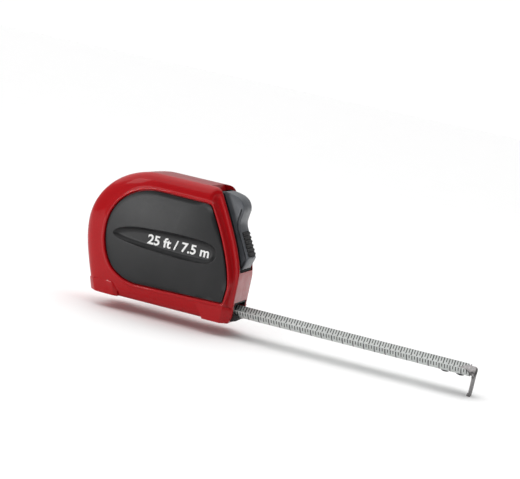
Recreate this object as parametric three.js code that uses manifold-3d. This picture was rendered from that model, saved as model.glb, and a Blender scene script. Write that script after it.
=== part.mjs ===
// Pocket tape measure with a one inch blade, a sliding blade lock and a belt clip.
// Millimetres. +X runs along the blade towards the hook, +Z is up and -Y is the near side.
// The origin is the centre of the flat base that the case stands on.

import * as THREE from 'three';
import { ConvexGeometry } from 'three/addons/geometries/ConvexGeometry.js';
import { mergeVertices } from 'three/addons/utils/BufferGeometryUtils.js';
import Module from 'manifold-3d';

const wasm = await Module();
wasm.setup();

// ---- Driving dimensions ------------------------------------------------------------------

const GAP = 0.3; // running and seating clearance between separate pieces

// Case
const CASE_TOP = 76; // height of the flat top
const REAR_X = -52; // rearmost point of the round back
const FRONT_X = 44.8; // flat front face of the nose
const HALF_EDGE = 14.2; // half width of the case where its side begins to round over
const HALF_RIDGE = 21; // half width at the ridge round the side panel
const PARTING = 0.1; // each half stops this far from the middle plane

// Reel
const REEL = { x: -14.3, z: 38.5 }; // axis of the reel, which runs along Y
const CAVITY_R = 35.3;
const CAVITY_HALF = 15;
const FLANGE_R = 33.5;
const FLANGE_OUT = 13.8;
const FLANGE_THICK = 0.8;
const HUB_R = 21;
const HUB_WALL = 1.8;
const COIL_R = 31;
const SPINDLE_R = 4;

// Blade
const BLADE_WIDTH = 25; // measured flat
const BLADE_THICK = 0.25;
const BLADE_R = 14.74; // radius of the curved section, at mid thickness
const BLADE_Z = 3; // lowest line of the blade
const BLADE_AXIS_Z = BLADE_Z + BLADE_R + BLADE_THICK / 2; // centre of the curved section
const BLADE_END = 184.8;
const TIP_START = 164.3; // the last stretch, which carries the rivets, stays straight
const LEAD_Z = 7.05; // underside of the flat blade where it leaves the coil

// Hook
const HOOK_INNER = 186.6; // inner face of the tang
const HOOK_THICK = 1.2;
const HOOK_PLATE = 1.0;
const HOOK_BOTTOM = -8;
const RIVET_X = [170.4, 179.4];
const RIVET_R = 1.5;
const HOOK_PLAY = 0.8; // the hook floats this far each way on its rivets

// Lock: a straight track down the front, tilted back from the vertical
const LOCK_FOOT = { x: 43.6, z: 31 };
const LOCK_TILT = THREE.MathUtils.degToRad(24.8);
const LOCK_HALF = 8.7;
const TRACK_HALF = 13.7;

// Mouth
const MOUTH_TOP = 12.2;
const MOUTH_HALF = 12.8;
const CHANNEL_FLOOR = 2.3;
const BUMPER_BACK = 37;
const BUMPER_FRONT = 47.6;
const BUMPER_FLOOR = 1.1;
const RIVET_WAY = 3.2; // half width of the groove that the rivet heads pass along

// ---- Materials ---------------------------------------------------------------------------

const standard = (color, roughness, metalness) =>
  new THREE.MeshStandardMaterial({ color, roughness, metalness });

const redGloss = standard(0xb0141c, 0.22, 0.35);
const charcoal = standard(0x2c2d2f, 0.7, 0);
const lockGrey = standard(0x3a3c40, 0.5, 0);
const blackPlastic = standard(0x101012, 0.45, 0);
const rubberBlack = standard(0x161616, 0.85, 0);
const bladeCoat = standard(0xd9dcd8, 0.35, 0.2);
const springSteel = standard(0x6c7078, 0.35, 0.9);
const bareSteel = standard(0x9d9a9c, 0.3, 0.95);
const acetal = standard(0xdad8cc, 0.5, 0);

// ---- Solid helpers -----------------------------------------------------------------------

const part = new THREE.Group();

function add(name, geometry, material) {
  const mesh = new THREE.Mesh(geometry, material);
  mesh.name = name;
  part.add(mesh);
  return mesh;
}

// A manifold solid made from any closed three.js geometry.
function solid(geometry) {
  const bare = geometry.clone();
  bare.deleteAttribute('normal');
  bare.deleteAttribute('uv');
  const merged = mergeVertices(bare, 1e-4);
  const vertProperties = Float32Array.from(merged.attributes.position.array);
  const triVerts = Uint32Array.from(merged.index.array);
  return new wasm.Manifold(new wasm.Mesh({ numProp: 3, vertProperties, triVerts }));
}

function geometryOf(manifold) {
  const mesh = manifold.getMesh();
  const geometry = new THREE.BufferGeometry();
  geometry.setAttribute('position', new THREE.BufferAttribute(mesh.vertProperties, 3));
  geometry.setIndex(new THREE.BufferAttribute(mesh.triVerts, 1));
  return geometry;
}

const cut = (base, ...tools) => tools.reduce((left, tool) => left.subtract(tool), base);
const join = (base, ...others) => others.reduce((sum, other) => sum.add(other), base);

// Flips a geometry's triangles when its volume comes out negative.
function facingOut(geometry) {
  const p = geometry.attributes.position;
  const index = geometry.index.array;
  const corner = (i) => new THREE.Vector3().fromBufferAttribute(p, index[i]);
  let volume = 0;
  for (let i = 0; i < index.length; i += 3) {
    volume += corner(i).dot(corner(i + 1).cross(corner(i + 2)));
  }
  if (volume < 0) {
    for (let i = 0; i < index.length; i += 3) {
      [index[i + 1], index[i + 2]] = [index[i + 2], index[i + 1]];
    }
  }
  return geometry;
}

// A closed skin through rings of equal point counts. The caps are filled flat, using the
// plane that `flatten` maps each point to.
function loft(rings, flatten) {
  const count = rings[0].length;
  const positions = rings.flat().flatMap((v) => [v.x, v.y, v.z]);
  const index = [];
  for (let ring = 0; ring + 1 < rings.length; ring += 1) {
    for (let i = 0; i < count; i += 1) {
      const next = (i + 1) % count;
      const a = ring * count + i;
      const b = ring * count + next;
      index.push(a, b, b + count, a, b + count, a + count);
    }
  }
  const addCap = (ring, first, sameWay) => {
    const outline = ring.map(flatten);
    const forward = (THREE.ShapeUtils.area(outline) > 0) === sameWay;
    for (const [a, b, c] of THREE.ShapeUtils.triangulateShape(outline, [])) {
      index.push(first + a, first + (forward ? b : c), first + (forward ? c : b));
    }
  };
  addCap(rings[0], 0, false);
  addCap(rings.at(-1), (rings.length - 1) * count, true);
  const geometry = new THREE.BufferGeometry();
  geometry.setAttribute('position', new THREE.Float32BufferAttribute(positions, 3));
  geometry.setIndex(index);
  return facingOut(geometry);
}

const toXZ = (v) => new THREE.Vector2(v.x, v.z);
const toYZ = (v) => new THREE.Vector2(v.y, v.z);

// An outline drawn in X and Z, made into a prism between two Y planes.
function prismY(points, y0, y1, curveSegments = 8) {
  const shape = points instanceof THREE.Shape ? points : new THREE.Shape(points);
  const geometry = new THREE.ExtrudeGeometry(shape, {
    depth: y1 - y0,
    bevelEnabled: false,
    curveSegments,
  });
  return geometry.rotateX(Math.PI / 2).translate(0, y1, 0);
}

function box(x0, x1, y0, y1, z0, z1) {
  const geometry = new THREE.BoxGeometry(x1 - x0, y1 - y0, z1 - z0);
  return geometry.translate((x0 + x1) / 2, (y0 + y1) / 2, (z0 + z1) / 2);
}

// A cylinder along Y.
function drumY(x, z, radius, y0, y1, segments = 48) {
  const geometry = new THREE.CylinderGeometry(radius, radius, y1 - y0, segments);
  return geometry.translate(x, (y0 + y1) / 2, z);
}

// A turned piece along Y, from a closed list of [radius, y] corners.
function turnedY(x, z, corners, segments = 48) {
  const profile = [...corners, corners[0]].map(([r, y]) => new THREE.Vector2(r, y));
  return facingOut(mergeVertices(bare(new THREE.LatheGeometry(profile, segments))))
    .translate(x, 0, z);
}

function bare(geometry) {
  geometry.deleteAttribute('normal');
  geometry.deleteAttribute('uv');
  return geometry;
}

// Mirrors a geometry from the near side to the far side.
function mirrored(geometry) {
  const copy = geometry.clone().scale(1, -1, 1);
  return facingOut(copy);
}

// ---- Outlines of the case ----------------------------------------------------------------

const v2 = (x, z) => new THREE.Vector2(x, z);
const bezier = (a, b, c, d) => new THREE.CubicBezierCurve(v2(...a), v2(...b), v2(...c), v2(...d));
const bend = (a, b, c) => new THREE.QuadraticBezierCurve(v2(...a), v2(...b), v2(...c));
const line = (a, b) => new THREE.LineCurve(v2(...a), v2(...b));

// The case edge and the ridge round the side panel, walked together in matching stretches.
// `scoop` says how far the side between them is hollowed instead of rounded.
const STRETCHES = [
  { // round back, lower half
    steps: 9, scoop: 0,
    edge: bezier([-41.5, 0], [-46.9, 16], [REAR_X, 28], [REAR_X, 41]),
    ridge: bezier([-31.1, 15.4], [-36.5, 20.5], [-40.2, 30], [-40.2, 40]),
  },
  { // round back, upper half
    steps: 11, scoop: 0,
    edge: bezier([REAR_X, 41], [REAR_X, 60], [-35, CASE_TOP], [-14, CASE_TOP]),
    ridge: bezier([-40.2, 40], [-40.2, 55], [-28.5, 67.6], [-10, 67.6]),
  },
  { // flat top
    steps: 4, scoop: 0,
    edge: line([-14, CASE_TOP], [19.5, CASE_TOP]),
    ridge: line([-10, 67.6], [18.3, 67.3]),
  },
  { // top front corner
    steps: 3, scoop: 0.4,
    edge: bend([19.5, CASE_TOP], [23, CASE_TOP], [24.4, 73.5]),
    ridge: bend([18.3, 67.3], [21.6, 67.1], [22.8, 65.2]),
  },
  { // sloping front
    steps: 10, scoop: 1,
    edge: bezier([24.4, 73.5], [33.4, 57.6], [44.6, 37], [FRONT_X, 26]),
    ridge: bezier([22.8, 65.2], [30.5, 52.9], [40.5, 33], [41.2, 20]),
  },
  { // upright front of the nose
    steps: 3, scoop: 1,
    edge: line([FRONT_X, 26], [FRONT_X, 4.5]),
    ridge: line([41.2, 20], [40.6, 12.5]),
  },
  { // chamfer under the nose
    steps: 2, scoop: 0.5,
    edge: line([FRONT_X, 4.5], [43.3, 0]),
    ridge: bend([40.6, 12.5], [40.2, 10.3], [38.2, 10.1]),
  },
  { // base
    steps: 5, scoop: 0,
    edge: line([43.3, 0], [-18, 0]),
    ridge: line([38.2, 10.1], [-14, 8.8]),
  },
  { // base at the back
    steps: 5, scoop: 0,
    edge: line([-18, 0], [-41.5, 0]),
    ridge: bezier([-14, 8.8], [-20.5, 8.9], [-26.5, 11.3], [-31.1, 15.4]),
  },
];

// Matching samples of both outlines, with the hollow of the side at each.
const SAMPLES = STRETCHES.flatMap(({ steps, scoop, edge, ridge }, n) => {
  const nextScoop = STRETCHES[(n + 1) % STRETCHES.length].scoop;
  return Array.from({ length: steps }, (_, i) => {
    const t = i / steps;
    return {
      edge: edge.getPoint(t),
      ridge: ridge.getPoint(t),
      scoop: scoop === 0 || nextScoop >= scoop ? scoop : THREE.MathUtils.lerp(scoop, nextScoop, t),
    };
  });
});

// Half width of the side at a fraction of the way from the case edge to the ridge: once for
// the rounded shoulder and once for the hollow beside the nose.
const SIDE_RINGS = [
  { inward: 0, round: HALF_EDGE, hollow: HALF_EDGE },
  { inward: 0.05, round: 15.9, hollow: 15.5 },
  { inward: 0.14, round: 17.3, hollow: 16.1 },
  { inward: 0.35, round: 18.9, hollow: 16.2 },
  { inward: 0.68, round: 20.3, hollow: 17.1 },
  { inward: 0.9, round: 20.85, hollow: 19.7 },
  { inward: 1, round: HALF_RIDGE, hollow: HALF_RIDGE },
];

const ringAt = ({ inward, round, hollow }) =>
  SAMPLES.map(({ edge, ridge, scoop }) => {
    const at = edge.clone().lerp(ridge, inward);
    return new THREE.Vector3(at.x, -THREE.MathUtils.lerp(round, hollow, scoop), at.y);
  });

// A closed outline moved inwards by a fixed distance. It runs clockwise in X and Z.
function inset(outline, distance) {
  return outline.map((at, i) => {
    const before = outline[(i + outline.length - 1) % outline.length];
    const after = outline[(i + 1) % outline.length];
    const along = after.clone().sub(before).normalize();
    return new THREE.Vector2(at.x + along.y * distance, at.y - along.x * distance);
  });
}

const ridgeOutline = SAMPLES.map(({ ridge }) => ridge.clone());
const flatRing = (outline, y) => outline.map((at) => new THREE.Vector3(at.x, y, at.y));

// ---- Lock track frame --------------------------------------------------------------------

// A point `up` the track and `out` from it, as X and Z.
function onTrack(up, out) {
  const s = Math.sin(LOCK_TILT);
  const c = Math.cos(LOCK_TILT);
  return v2(LOCK_FOOT.x - s * up + c * out, LOCK_FOOT.z + c * up + s * out);
}

const trackBlock = (up0, up1, out0, out1, half) =>
  prismY([onTrack(up0, out0), onTrack(up0, out1), onTrack(up1, out1), onTrack(up1, out0)],
    -half, half);

// ---- Case halves -------------------------------------------------------------------------

const PANEL_SEAT = 18.8; // depth of the pocket that holds the side panel
const RIDGE_WIDTH = 1;
const FOOT_HALF = 20.2;
const TRACK_DEPTH = 5.3;

// Front foot: flush with the ridge, chamfered towards the nose and raked at its rear end.
const frontFoot = new ConvexGeometry([
  [22, 9.6], [29, 0], [39.8, 0], [39.8, 9.9],
].map(([x, z]) => new THREE.Vector3(x, -FOOT_HALF, z)).concat([
  [45, -15.2, 4.2], [43.6, -15.2, 0], [45, -15.2, 9.2], [44.6, -10, 9.2], [45, -10, 4.2],
  [43.6, -10, 0], [29, -10, 0], [22, -10, 9.6],
].map((at) => new THREE.Vector3(...at))));

// Rear foot: a low pad that carries the heel of the case.
const rearFoot = new ConvexGeometry([
  [-38.5, -18.6, 0], [-41.3, -18.3, 7.6], [-28.5, -FOOT_HALF, 8.6], [-27, -19.6, 0],
  [-42.4, -14.5, 0], [-45, -14.2, 7.4], [-42.4, -10, 0], [-44.2, -10, 7.4],
  [-24, -18.4, 0], [-25.5, -18.6, 6.5], [-27, -10, 8.6], [-24, -10, 0],
].map((at) => new THREE.Vector3(...at)));

const nearShell = loft([
  ringAt({ inward: 0, round: PARTING, hollow: PARTING }),
  ...SIDE_RINGS.map(ringAt),
  flatRing(inset(ridgeOutline, RIDGE_WIDTH), -HALF_RIDGE),
  flatRing(inset(ridgeOutline, RIDGE_WIDTH + 0.3), -PANEL_SEAT),
], toXZ);

const SCREWS = [
  { name: 'case_screw_heel', x: -36.5, z: 6.2, seat: 16.6 },
  { name: 'case_screw_nose', x: 33, z: 17.2, seat: 13.4 },
  { name: 'case_screw_top', x: 14.6, z: 71.3, seat: 15.4 },
];
const SCREW_R = 1.25;
const SCREW_HEAD_R = 2.7;
const SCREW_HEAD = 1.8;
const SCREW_END = -9;

const hollows = [
  drumY(REEL.x, REEL.z, CAVITY_R, -CAVITY_HALF, CAVITY_HALF, 72),
  drumY(REEL.x, REEL.z, SPINDLE_R + GAP, -17.2, 17.2, 32),
  box(REEL.x, 60, -MOUTH_HALF, MOUTH_HALF, CHANNEL_FLOOR, MOUTH_TOP), // blade channel
  box(24, 60, -RIVET_WAY, RIVET_WAY, 1.5, MOUTH_TOP), // groove for the rivet heads
  box(BUMPER_BACK - GAP, 60, -MOUTH_HALF, MOUTH_HALF, BUMPER_FLOOR - GAP, MOUTH_TOP),
  trackBlock(-1.2, 60, -TRACK_DEPTH, 30, TRACK_HALF + GAP), // seat of the lock track
  box(14.8, 24.8, -7.1, 7.1, 11, 30), // room for the brake
  trackBlock(1.5, 16, -20.2, 0, 3.3), // room for the lock's tongue
].map(solid);

const baseKnife = solid(box(-100, 100, -40, 40, -20, 0));
const nearHalfSpace = solid(box(-100, 100, -40, -PARTING, -20, 100));

const nearBody = cut(
  join(solid(nearShell), solid(frontFoot), solid(rearFoot)).intersect(nearHalfSpace),
  baseKnife,
  ...hollows,
);
const pilotHoles = SCREWS.map(({ x, z }) => solid(drumY(x, z, SCREW_R + 0.1, -10, 0, 20)));
add('case_near_half', geometryOf(cut(nearBody, ...pilotHoles)), redGloss);

const farBody = solid(mirrored(geometryOf(nearBody)));
const headWells = SCREWS.flatMap(({ x, z, seat }) => [
  solid(drumY(x, z, SCREW_R + GAP, 0, 40, 20)),
  solid(drumY(x, z, SCREW_HEAD_R + GAP, seat, 40, 28)),
]);
const CLIP_SCREW = { x: -14.3, z: 57, deep: 15.7 };
const clipScrewHole = solid(drumY(CLIP_SCREW.x, CLIP_SCREW.z, 1.4, CLIP_SCREW.deep, 30, 20));
add('case_far_half', geometryOf(cut(farBody, ...headWells, clipScrewHole)), redGloss);

// ---- Side panels -------------------------------------------------------------------------

const panelOutline = inset(ridgeOutline, RIDGE_WIDTH + 0.6);
const PANEL_CENTRE = v2(0, 38.5);
const PANEL_EDGE = 20.3;
const PANEL_CROWN = 1.7;

// Rings that shrink towards the panel's centre as its face swells outwards.
const panelRing = (shrink) =>
  panelOutline.map((at) => {
    const p = at.clone().lerp(PANEL_CENTRE, 1 - shrink);
    return new THREE.Vector3(p.x, -(PANEL_EDGE + PANEL_CROWN * (1 - shrink ** 2)), p.y);
  });

const panelBlank = loft([
  flatRing(panelOutline, -(PANEL_SEAT + GAP)),
  ...[1, 0.86, 0.66, 0.4, 0.15].map(panelRing),
], toXZ);

// Long teardrop hollow in the panel, pointed at the rear and blunt at the front.
const teardrop = new THREE.Shape();
teardrop.moveTo(-33.8, 36.6);
teardrop.bezierCurveTo(-32.5, 41.2, -22, 43.4, -6, 44.1);
teardrop.bezierCurveTo(6, 44.6, 18, 44.8, 24, 43.6);
teardrop.bezierCurveTo(31.5, 42, 31.5, 33, 24, 31.6);
teardrop.bezierCurveTo(14, 30.6, 0, 31.2, -9.2, 31.9);
teardrop.bezierCurveTo(-22, 32.6, -32.5, 33.6, -33.8, 36.6);
const TEARDROP_FLOOR = 20.3;
const teardropCut = solid(prismY(teardrop, -40, -TEARDROP_FLOOR, 6));

add('side_panel_near', geometryOf(cut(solid(panelBlank), teardropCut)), charcoal);

// The far panel has a flat land for the belt clip instead.
const CLIP_LAND = 21.2;
const clipLand = solid(box(-24.5, -4.1, CLIP_LAND, 40, 44, 80));
const panelScrewHole = solid(drumY(CLIP_SCREW.x, CLIP_SCREW.z, 1.9, 0, 40, 20));
add('side_panel_far',
  geometryOf(cut(solid(mirrored(panelBlank)), clipLand, panelScrewHole)), charcoal);

// ---- Front: lock track, slider and thumb pad ---------------------------------------------

const TRACK_FLOOR = -3.5;
const frontCurve = STRETCHES[4].edge;

// Track: black frame that fills the front between the two halves, open for the slider.
const trackOutline = [
  onTrack(-0.8, -5),
  onTrack(-0.8, 0.2),
  ...[0.86, 0.72, 0.58, 0.44, 0.3, 0.16, 0.02].map((t) => {
    const at = frontCurve.getPoint(t);
    return v2(at.x - 0.5, at.y - 0.2);
  }),
  onTrack(48, -1.6),
  onTrack(48, -5),
];
const trackBlank = solid(prismY(trackOutline, -TRACK_HALF, TRACK_HALF));
const sliderChannel = solid(trackBlock(0.1, 60, TRACK_FLOOR, 20, LOCK_HALF + 0.25));
const tongueSlot = solid(trackBlock(2.2, 14.8, -8, 0, 2.9));
const DETENT = { from: 29, to: 43, half: 3 };
const detentWindow = solid(trackBlock(DETENT.from - 0.4, DETENT.to + 0.4, -8, 0,
  DETENT.half + GAP));
add('lock_track', geometryOf(cut(trackBlank, sliderChannel, tongueSlot, detentWindow)),
  blackPlastic);

// Detent: bowed leaf spring behind the slider that clicks at each end of its travel.
const DETENT_THICK = 0.35;
const detentSide = (lift) => Array.from({ length: 13 }, (_, i) => {
  const t = i / 12;
  return onTrack(THREE.MathUtils.lerp(DETENT.from, DETENT.to, t),
    -5.15 + lift + 1.1 * Math.sin(Math.PI * t));
});
add('detent_spring', prismY([...detentSide(0), ...detentSide(DETENT_THICK).reverse()],
  -DETENT.half, DETENT.half), springSteel);

// Slider: humped block with a deep saddle for the thumb and a tongue that works the brake.
const sliderProfile = new THREE.Shape();
const sliderBack = TRACK_FLOOR + GAP;
const start = onTrack(0.5, sliderBack);
sliderProfile.moveTo(start.x, start.y);
sliderProfile.lineTo(44.3, 31.9);
sliderProfile.lineTo(46.3, 38.6);
sliderProfile.lineTo(37.9, 54.6);
sliderProfile.quadraticCurveTo(36.7, 57.4, 37, 59.6);
sliderProfile.lineTo(37.7, 65);
sliderProfile.quadraticCurveTo(37.4, 70.4, 32.2, 72.6);
sliderProfile.quadraticCurveTo(28, 73.9, 24.6, 74);
const sliderTop = onTrack(47.4, sliderBack);
sliderProfile.lineTo(sliderTop.x, sliderTop.y);
const sliderBlank = solid(prismY(sliderProfile, -LOCK_HALF, LOCK_HALF, 4));
const tongue = solid(trackBlock(3.4, 8.4, -19.6, sliderBack + 1, 2.6));

// The pad sits in a shallow pocket on the ramp below the saddle.
const rampFoot = new THREE.Vector2(46.3, 38.6);
const rampHead = new THREE.Vector2(37.9, 54.6);
const rampUp = rampHead.clone().sub(rampFoot).normalize();
const rampOut = v2(rampUp.y, -rampUp.x);
const onRamp = (up, out) => rampFoot.clone().addScaledVector(rampUp, up)
  .addScaledVector(rampOut, out);
const PAD_HALF = 7.3;
const PAD_FROM = 0.9;
const PAD_TO = 16.2;
const padPocket = solid(prismY([
  onRamp(PAD_FROM, -1.2), onRamp(PAD_FROM, 5), onRamp(PAD_TO, 5), onRamp(PAD_TO, -1.2),
], -PAD_HALF, PAD_HALF));
add('lock_slider', geometryOf(cut(join(sliderBlank, tongue), padPocket)), lockGrey);

// Pad: a rubber block with ribs across it.
const RIBS = 6;
const RIB_RISE = 0.8;
const padSide = 0.25;
const padTop = [];
for (let i = 0; i < RIBS; i += 1) {
  const pitch = (PAD_TO - PAD_FROM - 2 * padSide) / RIBS;
  const from = PAD_FROM + padSide + i * pitch;
  padTop.push(onRamp(from + 0.15 * pitch, 0.15), onRamp(from + 0.35 * pitch, RIB_RISE));
  padTop.push(onRamp(from + 0.72 * pitch, RIB_RISE), onRamp(from + 0.88 * pitch, 0.15));
}
const padOutline = [
  onRamp(PAD_TO - padSide, -1.2 + padSide),
  onRamp(PAD_FROM + padSide, -1.2 + padSide),
  ...padTop,
];
add('thumb_pad', prismY(padOutline, -(PAD_HALF - padSide), PAD_HALF - padSide), rubberBlack);

// ---- Mouth -------------------------------------------------------------------------------

// Lower bumper: lies under the blade, follows its curve and takes the blow of the hook.
const BUMPER_HALF = 12.4;
const bumperBlock = solid(prismY([
  v2(BUMPER_BACK, BUMPER_FLOOR), v2(FRONT_X, BUMPER_FLOOR), v2(BUMPER_FRONT, 2.2),
  v2(BUMPER_FRONT, 5), v2(FRONT_X, 6.4), v2(BUMPER_BACK, 6.4),
], -BUMPER_HALF, BUMPER_HALF));
const wayR = BLADE_R + BLADE_THICK / 2 + GAP;
const bladeWay = solid(new THREE.CylinderGeometry(wayR, wayR, 40, 96)
  .rotateZ(Math.PI / 2).translate(45, 0, BLADE_AXIS_Z));
const rivetWay = solid(box(30, 60, -RIVET_WAY, RIVET_WAY, 1.8, 10));
add('mouth_bumper', geometryOf(cut(bumperBlock, bladeWay, rivetWay)), rubberBlack);

// Upper guide: lines the top and the sides of the mouth above the blade.
const GUIDE_BACK = 30;
const guideBlock = solid(box(GUIDE_BACK, FRONT_X - 0.3, -12.5, 12.5, 8.7, MOUTH_TOP - GAP));
const guideWay = solid(box(GUIDE_BACK - 1, FRONT_X + 1, -11.6, 11.6, 0, 11));
add('mouth_guide', geometryOf(cut(guideBlock, guideWay)), blackPlastic);

// ---- Spindle, reel and springs -----------------------------------------------------------

const SPINDLE_HALF = 16.9;
const spindleRod = solid(drumY(REEL.x, REEL.z, SPINDLE_R, -SPINDLE_HALF, SPINDLE_HALF, 32));
const spindleSlot = solid(box(REEL.x - 10, REEL.x + 10, -11.4, 11.4, REEL.z - 0.6, REEL.z + 0.6));
const slotEnd = solid(box(REEL.x - 10, REEL.x - 2.4, -12, 12, REEL.z - 2, REEL.z + 2));
add('spindle', geometryOf(cut(spindleRod, cut(spindleSlot, slotEnd))), springSteel);

const BORE_R = SPINDLE_R + 0.35;
add('reel_drum', turnedY(REEL.x, REEL.z, [
  [BORE_R, -FLANGE_OUT],
  [FLANGE_R, -FLANGE_OUT],
  [FLANGE_R, -FLANGE_OUT + FLANGE_THICK],
  [HUB_R, -FLANGE_OUT + FLANGE_THICK],
  [HUB_R, 12.7],
  [HUB_R - HUB_WALL, 12.7],
  [HUB_R - HUB_WALL, -12.2],
  [BORE_R, -12.2],
]), acetal);

add('reel_cover', turnedY(REEL.x, REEL.z, [
  [BORE_R, FLANGE_OUT],
  [BORE_R, FLANGE_OUT - FLANGE_THICK],
  [17.8, FLANGE_OUT - FLANGE_THICK],
  [17.8, 11.6],
  [18.9, 11.6],
  [18.9, FLANGE_OUT - FLANGE_THICK],
  [FLANGE_R, FLANGE_OUT - FLANGE_THICK],
  [FLANGE_R, FLANGE_OUT],
]), acetal);

add('blade_coil', turnedY(REEL.x, REEL.z, [
  [HUB_R + 0.2, -BLADE_WIDTH / 2],
  [COIL_R, -BLADE_WIDTH / 2],
  [COIL_R, BLADE_WIDTH / 2],
  [HUB_R + 0.2, BLADE_WIDTH / 2],
], 64), bladeCoat);

for (const [name, side] of [['thrust_washer_near', -1], ['thrust_washer_far', 1]]) {
  const faces = [side * 14.05, side * 14.75];
  add(name, turnedY(REEL.x, REEL.z, [
    [BORE_R, faces[0]], [10, faces[0]], [10, faces[1]], [BORE_R, faces[1]],
  ], 32), acetal);
}

// Power spring: a flat strip wound round the spindle inside the drum's hub.
const SPRING_TURNS = 7;
const SPRING_STEPS = 22;
const SPRING_HALF = 11;
const SPRING_IN = 4.9;
const SPRING_OUT = 18.2;
const SPRING_THICK = 0.7;

function spiralStrip(turns, steps, inner, outer, thick, half) {
  const rings = [];
  for (let i = 0; i <= turns * steps; i += 1) {
    const angle = (i / steps) * 2 * Math.PI;
    const r = THREE.MathUtils.lerp(inner, outer, i / (turns * steps));
    rings.push([[r, -half], [r + thick, -half], [r + thick, half], [r, half]].map(([q, y]) =>
      new THREE.Vector3(REEL.x + q * Math.cos(angle), y, REEL.z + q * Math.sin(angle))));
  }
  return rings;
}

const radial = (v) => v2(Math.hypot(v.x - REEL.x, v.z - REEL.z), v.y);
add('power_spring', loft(
  spiralStrip(SPRING_TURNS, SPRING_STEPS, SPRING_IN, SPRING_OUT, SPRING_THICK, SPRING_HALF),
  radial,
), springSteel);

// ---- Blade -------------------------------------------------------------------------------

const BLADE_FACETS = 10;

// Section of the blade at x. `curl` runs from 0, flat, to 1, the full curve.
function bladeSection(x, curl, inner = 0, outer = BLADE_THICK, width = BLADE_WIDTH) {
  const bottom = THREE.MathUtils.lerp(LEAD_Z, BLADE_Z, curl);
  const side = (lift, order) => Array.from({ length: BLADE_FACETS + 1 }, (_, i) => {
    const across = (order * (i / BLADE_FACETS - 0.5)) * width;
    if (curl < 0.01) return new THREE.Vector3(x, across, bottom + lift);
    const radius = BLADE_R / curl;
    const angle = across / radius;
    const r = radius + BLADE_THICK / 2 - lift;
    const centre = bottom + radius + BLADE_THICK / 2;
    return new THREE.Vector3(x, r * Math.sin(angle), centre - r * Math.cos(angle));
  });
  return [...side(inner, 1), ...side(outer, -1)];
}

const CURL_STEPS = 7;
const CURL_FROM = REEL.x;
const CURL_TO = 12;
const bladeRings = [];
for (let i = 0; i <= CURL_STEPS; i += 1) {
  const t = i / CURL_STEPS;
  const curl = t * t * (3 - 2 * t);
  bladeRings.push(bladeSection(THREE.MathUtils.lerp(CURL_FROM, CURL_TO, t), curl));
}
bladeRings.push(bladeSection(TIP_START - GAP, 1));
add('blade_strip', loft(bladeRings, toYZ), bladeCoat);

// Tip of the blade: straight, with clipped corners and two rivet holes.
const tipBlank = solid(loft([bladeSection(TIP_START, 1), bladeSection(BLADE_END, 1)], toYZ));
const CORNER_CLIP = 3;
const cornerKnife = (side) => solid(new ConvexGeometry([0, 20].flatMap((z) => [
  new THREE.Vector3(BLADE_END + 1, side * 20, z),
  new THREE.Vector3(BLADE_END + 1, side * (11.2 - CORNER_CLIP), z),
  new THREE.Vector3(BLADE_END - CORNER_CLIP + 0.2, side * 20, z),
  new THREE.Vector3(BLADE_END - CORNER_CLIP + 0.2, side * 11.2, z),
])));
const rivetHole = (x, half, radius) => {
  const ends = [x - half, x + half].map((at) => solid(
    new THREE.CylinderGeometry(radius, radius, 20, 24).rotateX(Math.PI / 2).translate(at, 0, 5),
  ));
  return join(...ends, solid(box(x - half - 0.01, x + half + 0.01, -radius, radius, -5, 15)));
};
add('blade_tip', geometryOf(cut(
  tipBlank,
  cornerKnife(-1),
  cornerKnife(1),
  ...RIVET_X.map((x) => rivetHole(x, 0, RIVET_R + 0.05)),
)), bladeCoat);

// ---- End hook and rivets -----------------------------------------------------------------

// Plate: lies in the hollow of the blade, narrow over the rivets and broad at the bend.
const plateR = BLADE_R - BLADE_THICK / 2 - GAP;
const plateRing = (x) => {
  const arc = (r, order) => Array.from({ length: 13 }, (_, i) => {
    const angle = order * (i / 12 - 0.5) * 1.42;
    return new THREE.Vector3(x, r * Math.sin(angle), BLADE_AXIS_Z - r * Math.cos(angle));
  });
  return [...arc(plateR, 1), ...arc(plateR - HOOK_PLATE, -1)];
};
const plateBlank = solid(loft(
  [plateRing(160), plateRing(HOOK_INNER + HOOK_THICK)], toYZ,
));
const plateOutline = new THREE.Shape();
plateOutline.moveTo(167.6, -4.6);
plateOutline.lineTo(174.6, -4.6);
plateOutline.bezierCurveTo(178, -4.8, 178.6, -8.8, 182.4, -8.9);
plateOutline.lineTo(HOOK_INNER + HOOK_THICK, -8.9);
plateOutline.lineTo(HOOK_INNER + HOOK_THICK, 8.9);
plateOutline.lineTo(182.4, 8.9);
plateOutline.bezierCurveTo(178.6, 8.8, 178, 4.8, 174.6, 4.6);
plateOutline.lineTo(167.6, 4.6);
plateOutline.bezierCurveTo(165.6, 4.6, 165.6, -4.6, 167.6, -4.6);
const plateStamp = solid(new THREE.ExtrudeGeometry(plateOutline, {
  depth: 30, bevelEnabled: false, curveSegments: 6,
}).translate(0, 0, -5));

// Tang: shoulders that follow the plate's curve, then a tapering blade with clipped corners.
const shoulderZ = (y) => BLADE_AXIS_Z - Math.sqrt((plateR - HOOK_PLATE) ** 2 - y ** 2);
const tangOutline = [
  [-8.9, shoulderZ(8.9)], [-8.9, 5.4], [-6.8, 2.8], [-6.5, -4.6], [-3.2, HOOK_BOTTOM],
  [3.2, HOOK_BOTTOM], [6.5, -4.6], [6.8, 2.8], [8.9, 5.4], [8.9, shoulderZ(8.9)],
  ...[6, 3, 0, -3, -6].map((y) => [y, shoulderZ(y)]),
].map(([y, z]) => v2(y, z));
const tang = solid(new THREE.ExtrudeGeometry(new THREE.Shape(tangOutline), {
  depth: HOOK_THICK, bevelEnabled: false,
}).rotateX(Math.PI / 2).rotateZ(Math.PI / 2).translate(HOOK_INNER, 0, 0));
const biteEdge = solid(box(HOOK_INNER - 1, HOOK_INNER + 0.6, -2.9, 2.9, HOOK_BOTTOM, -6.9));
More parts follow.
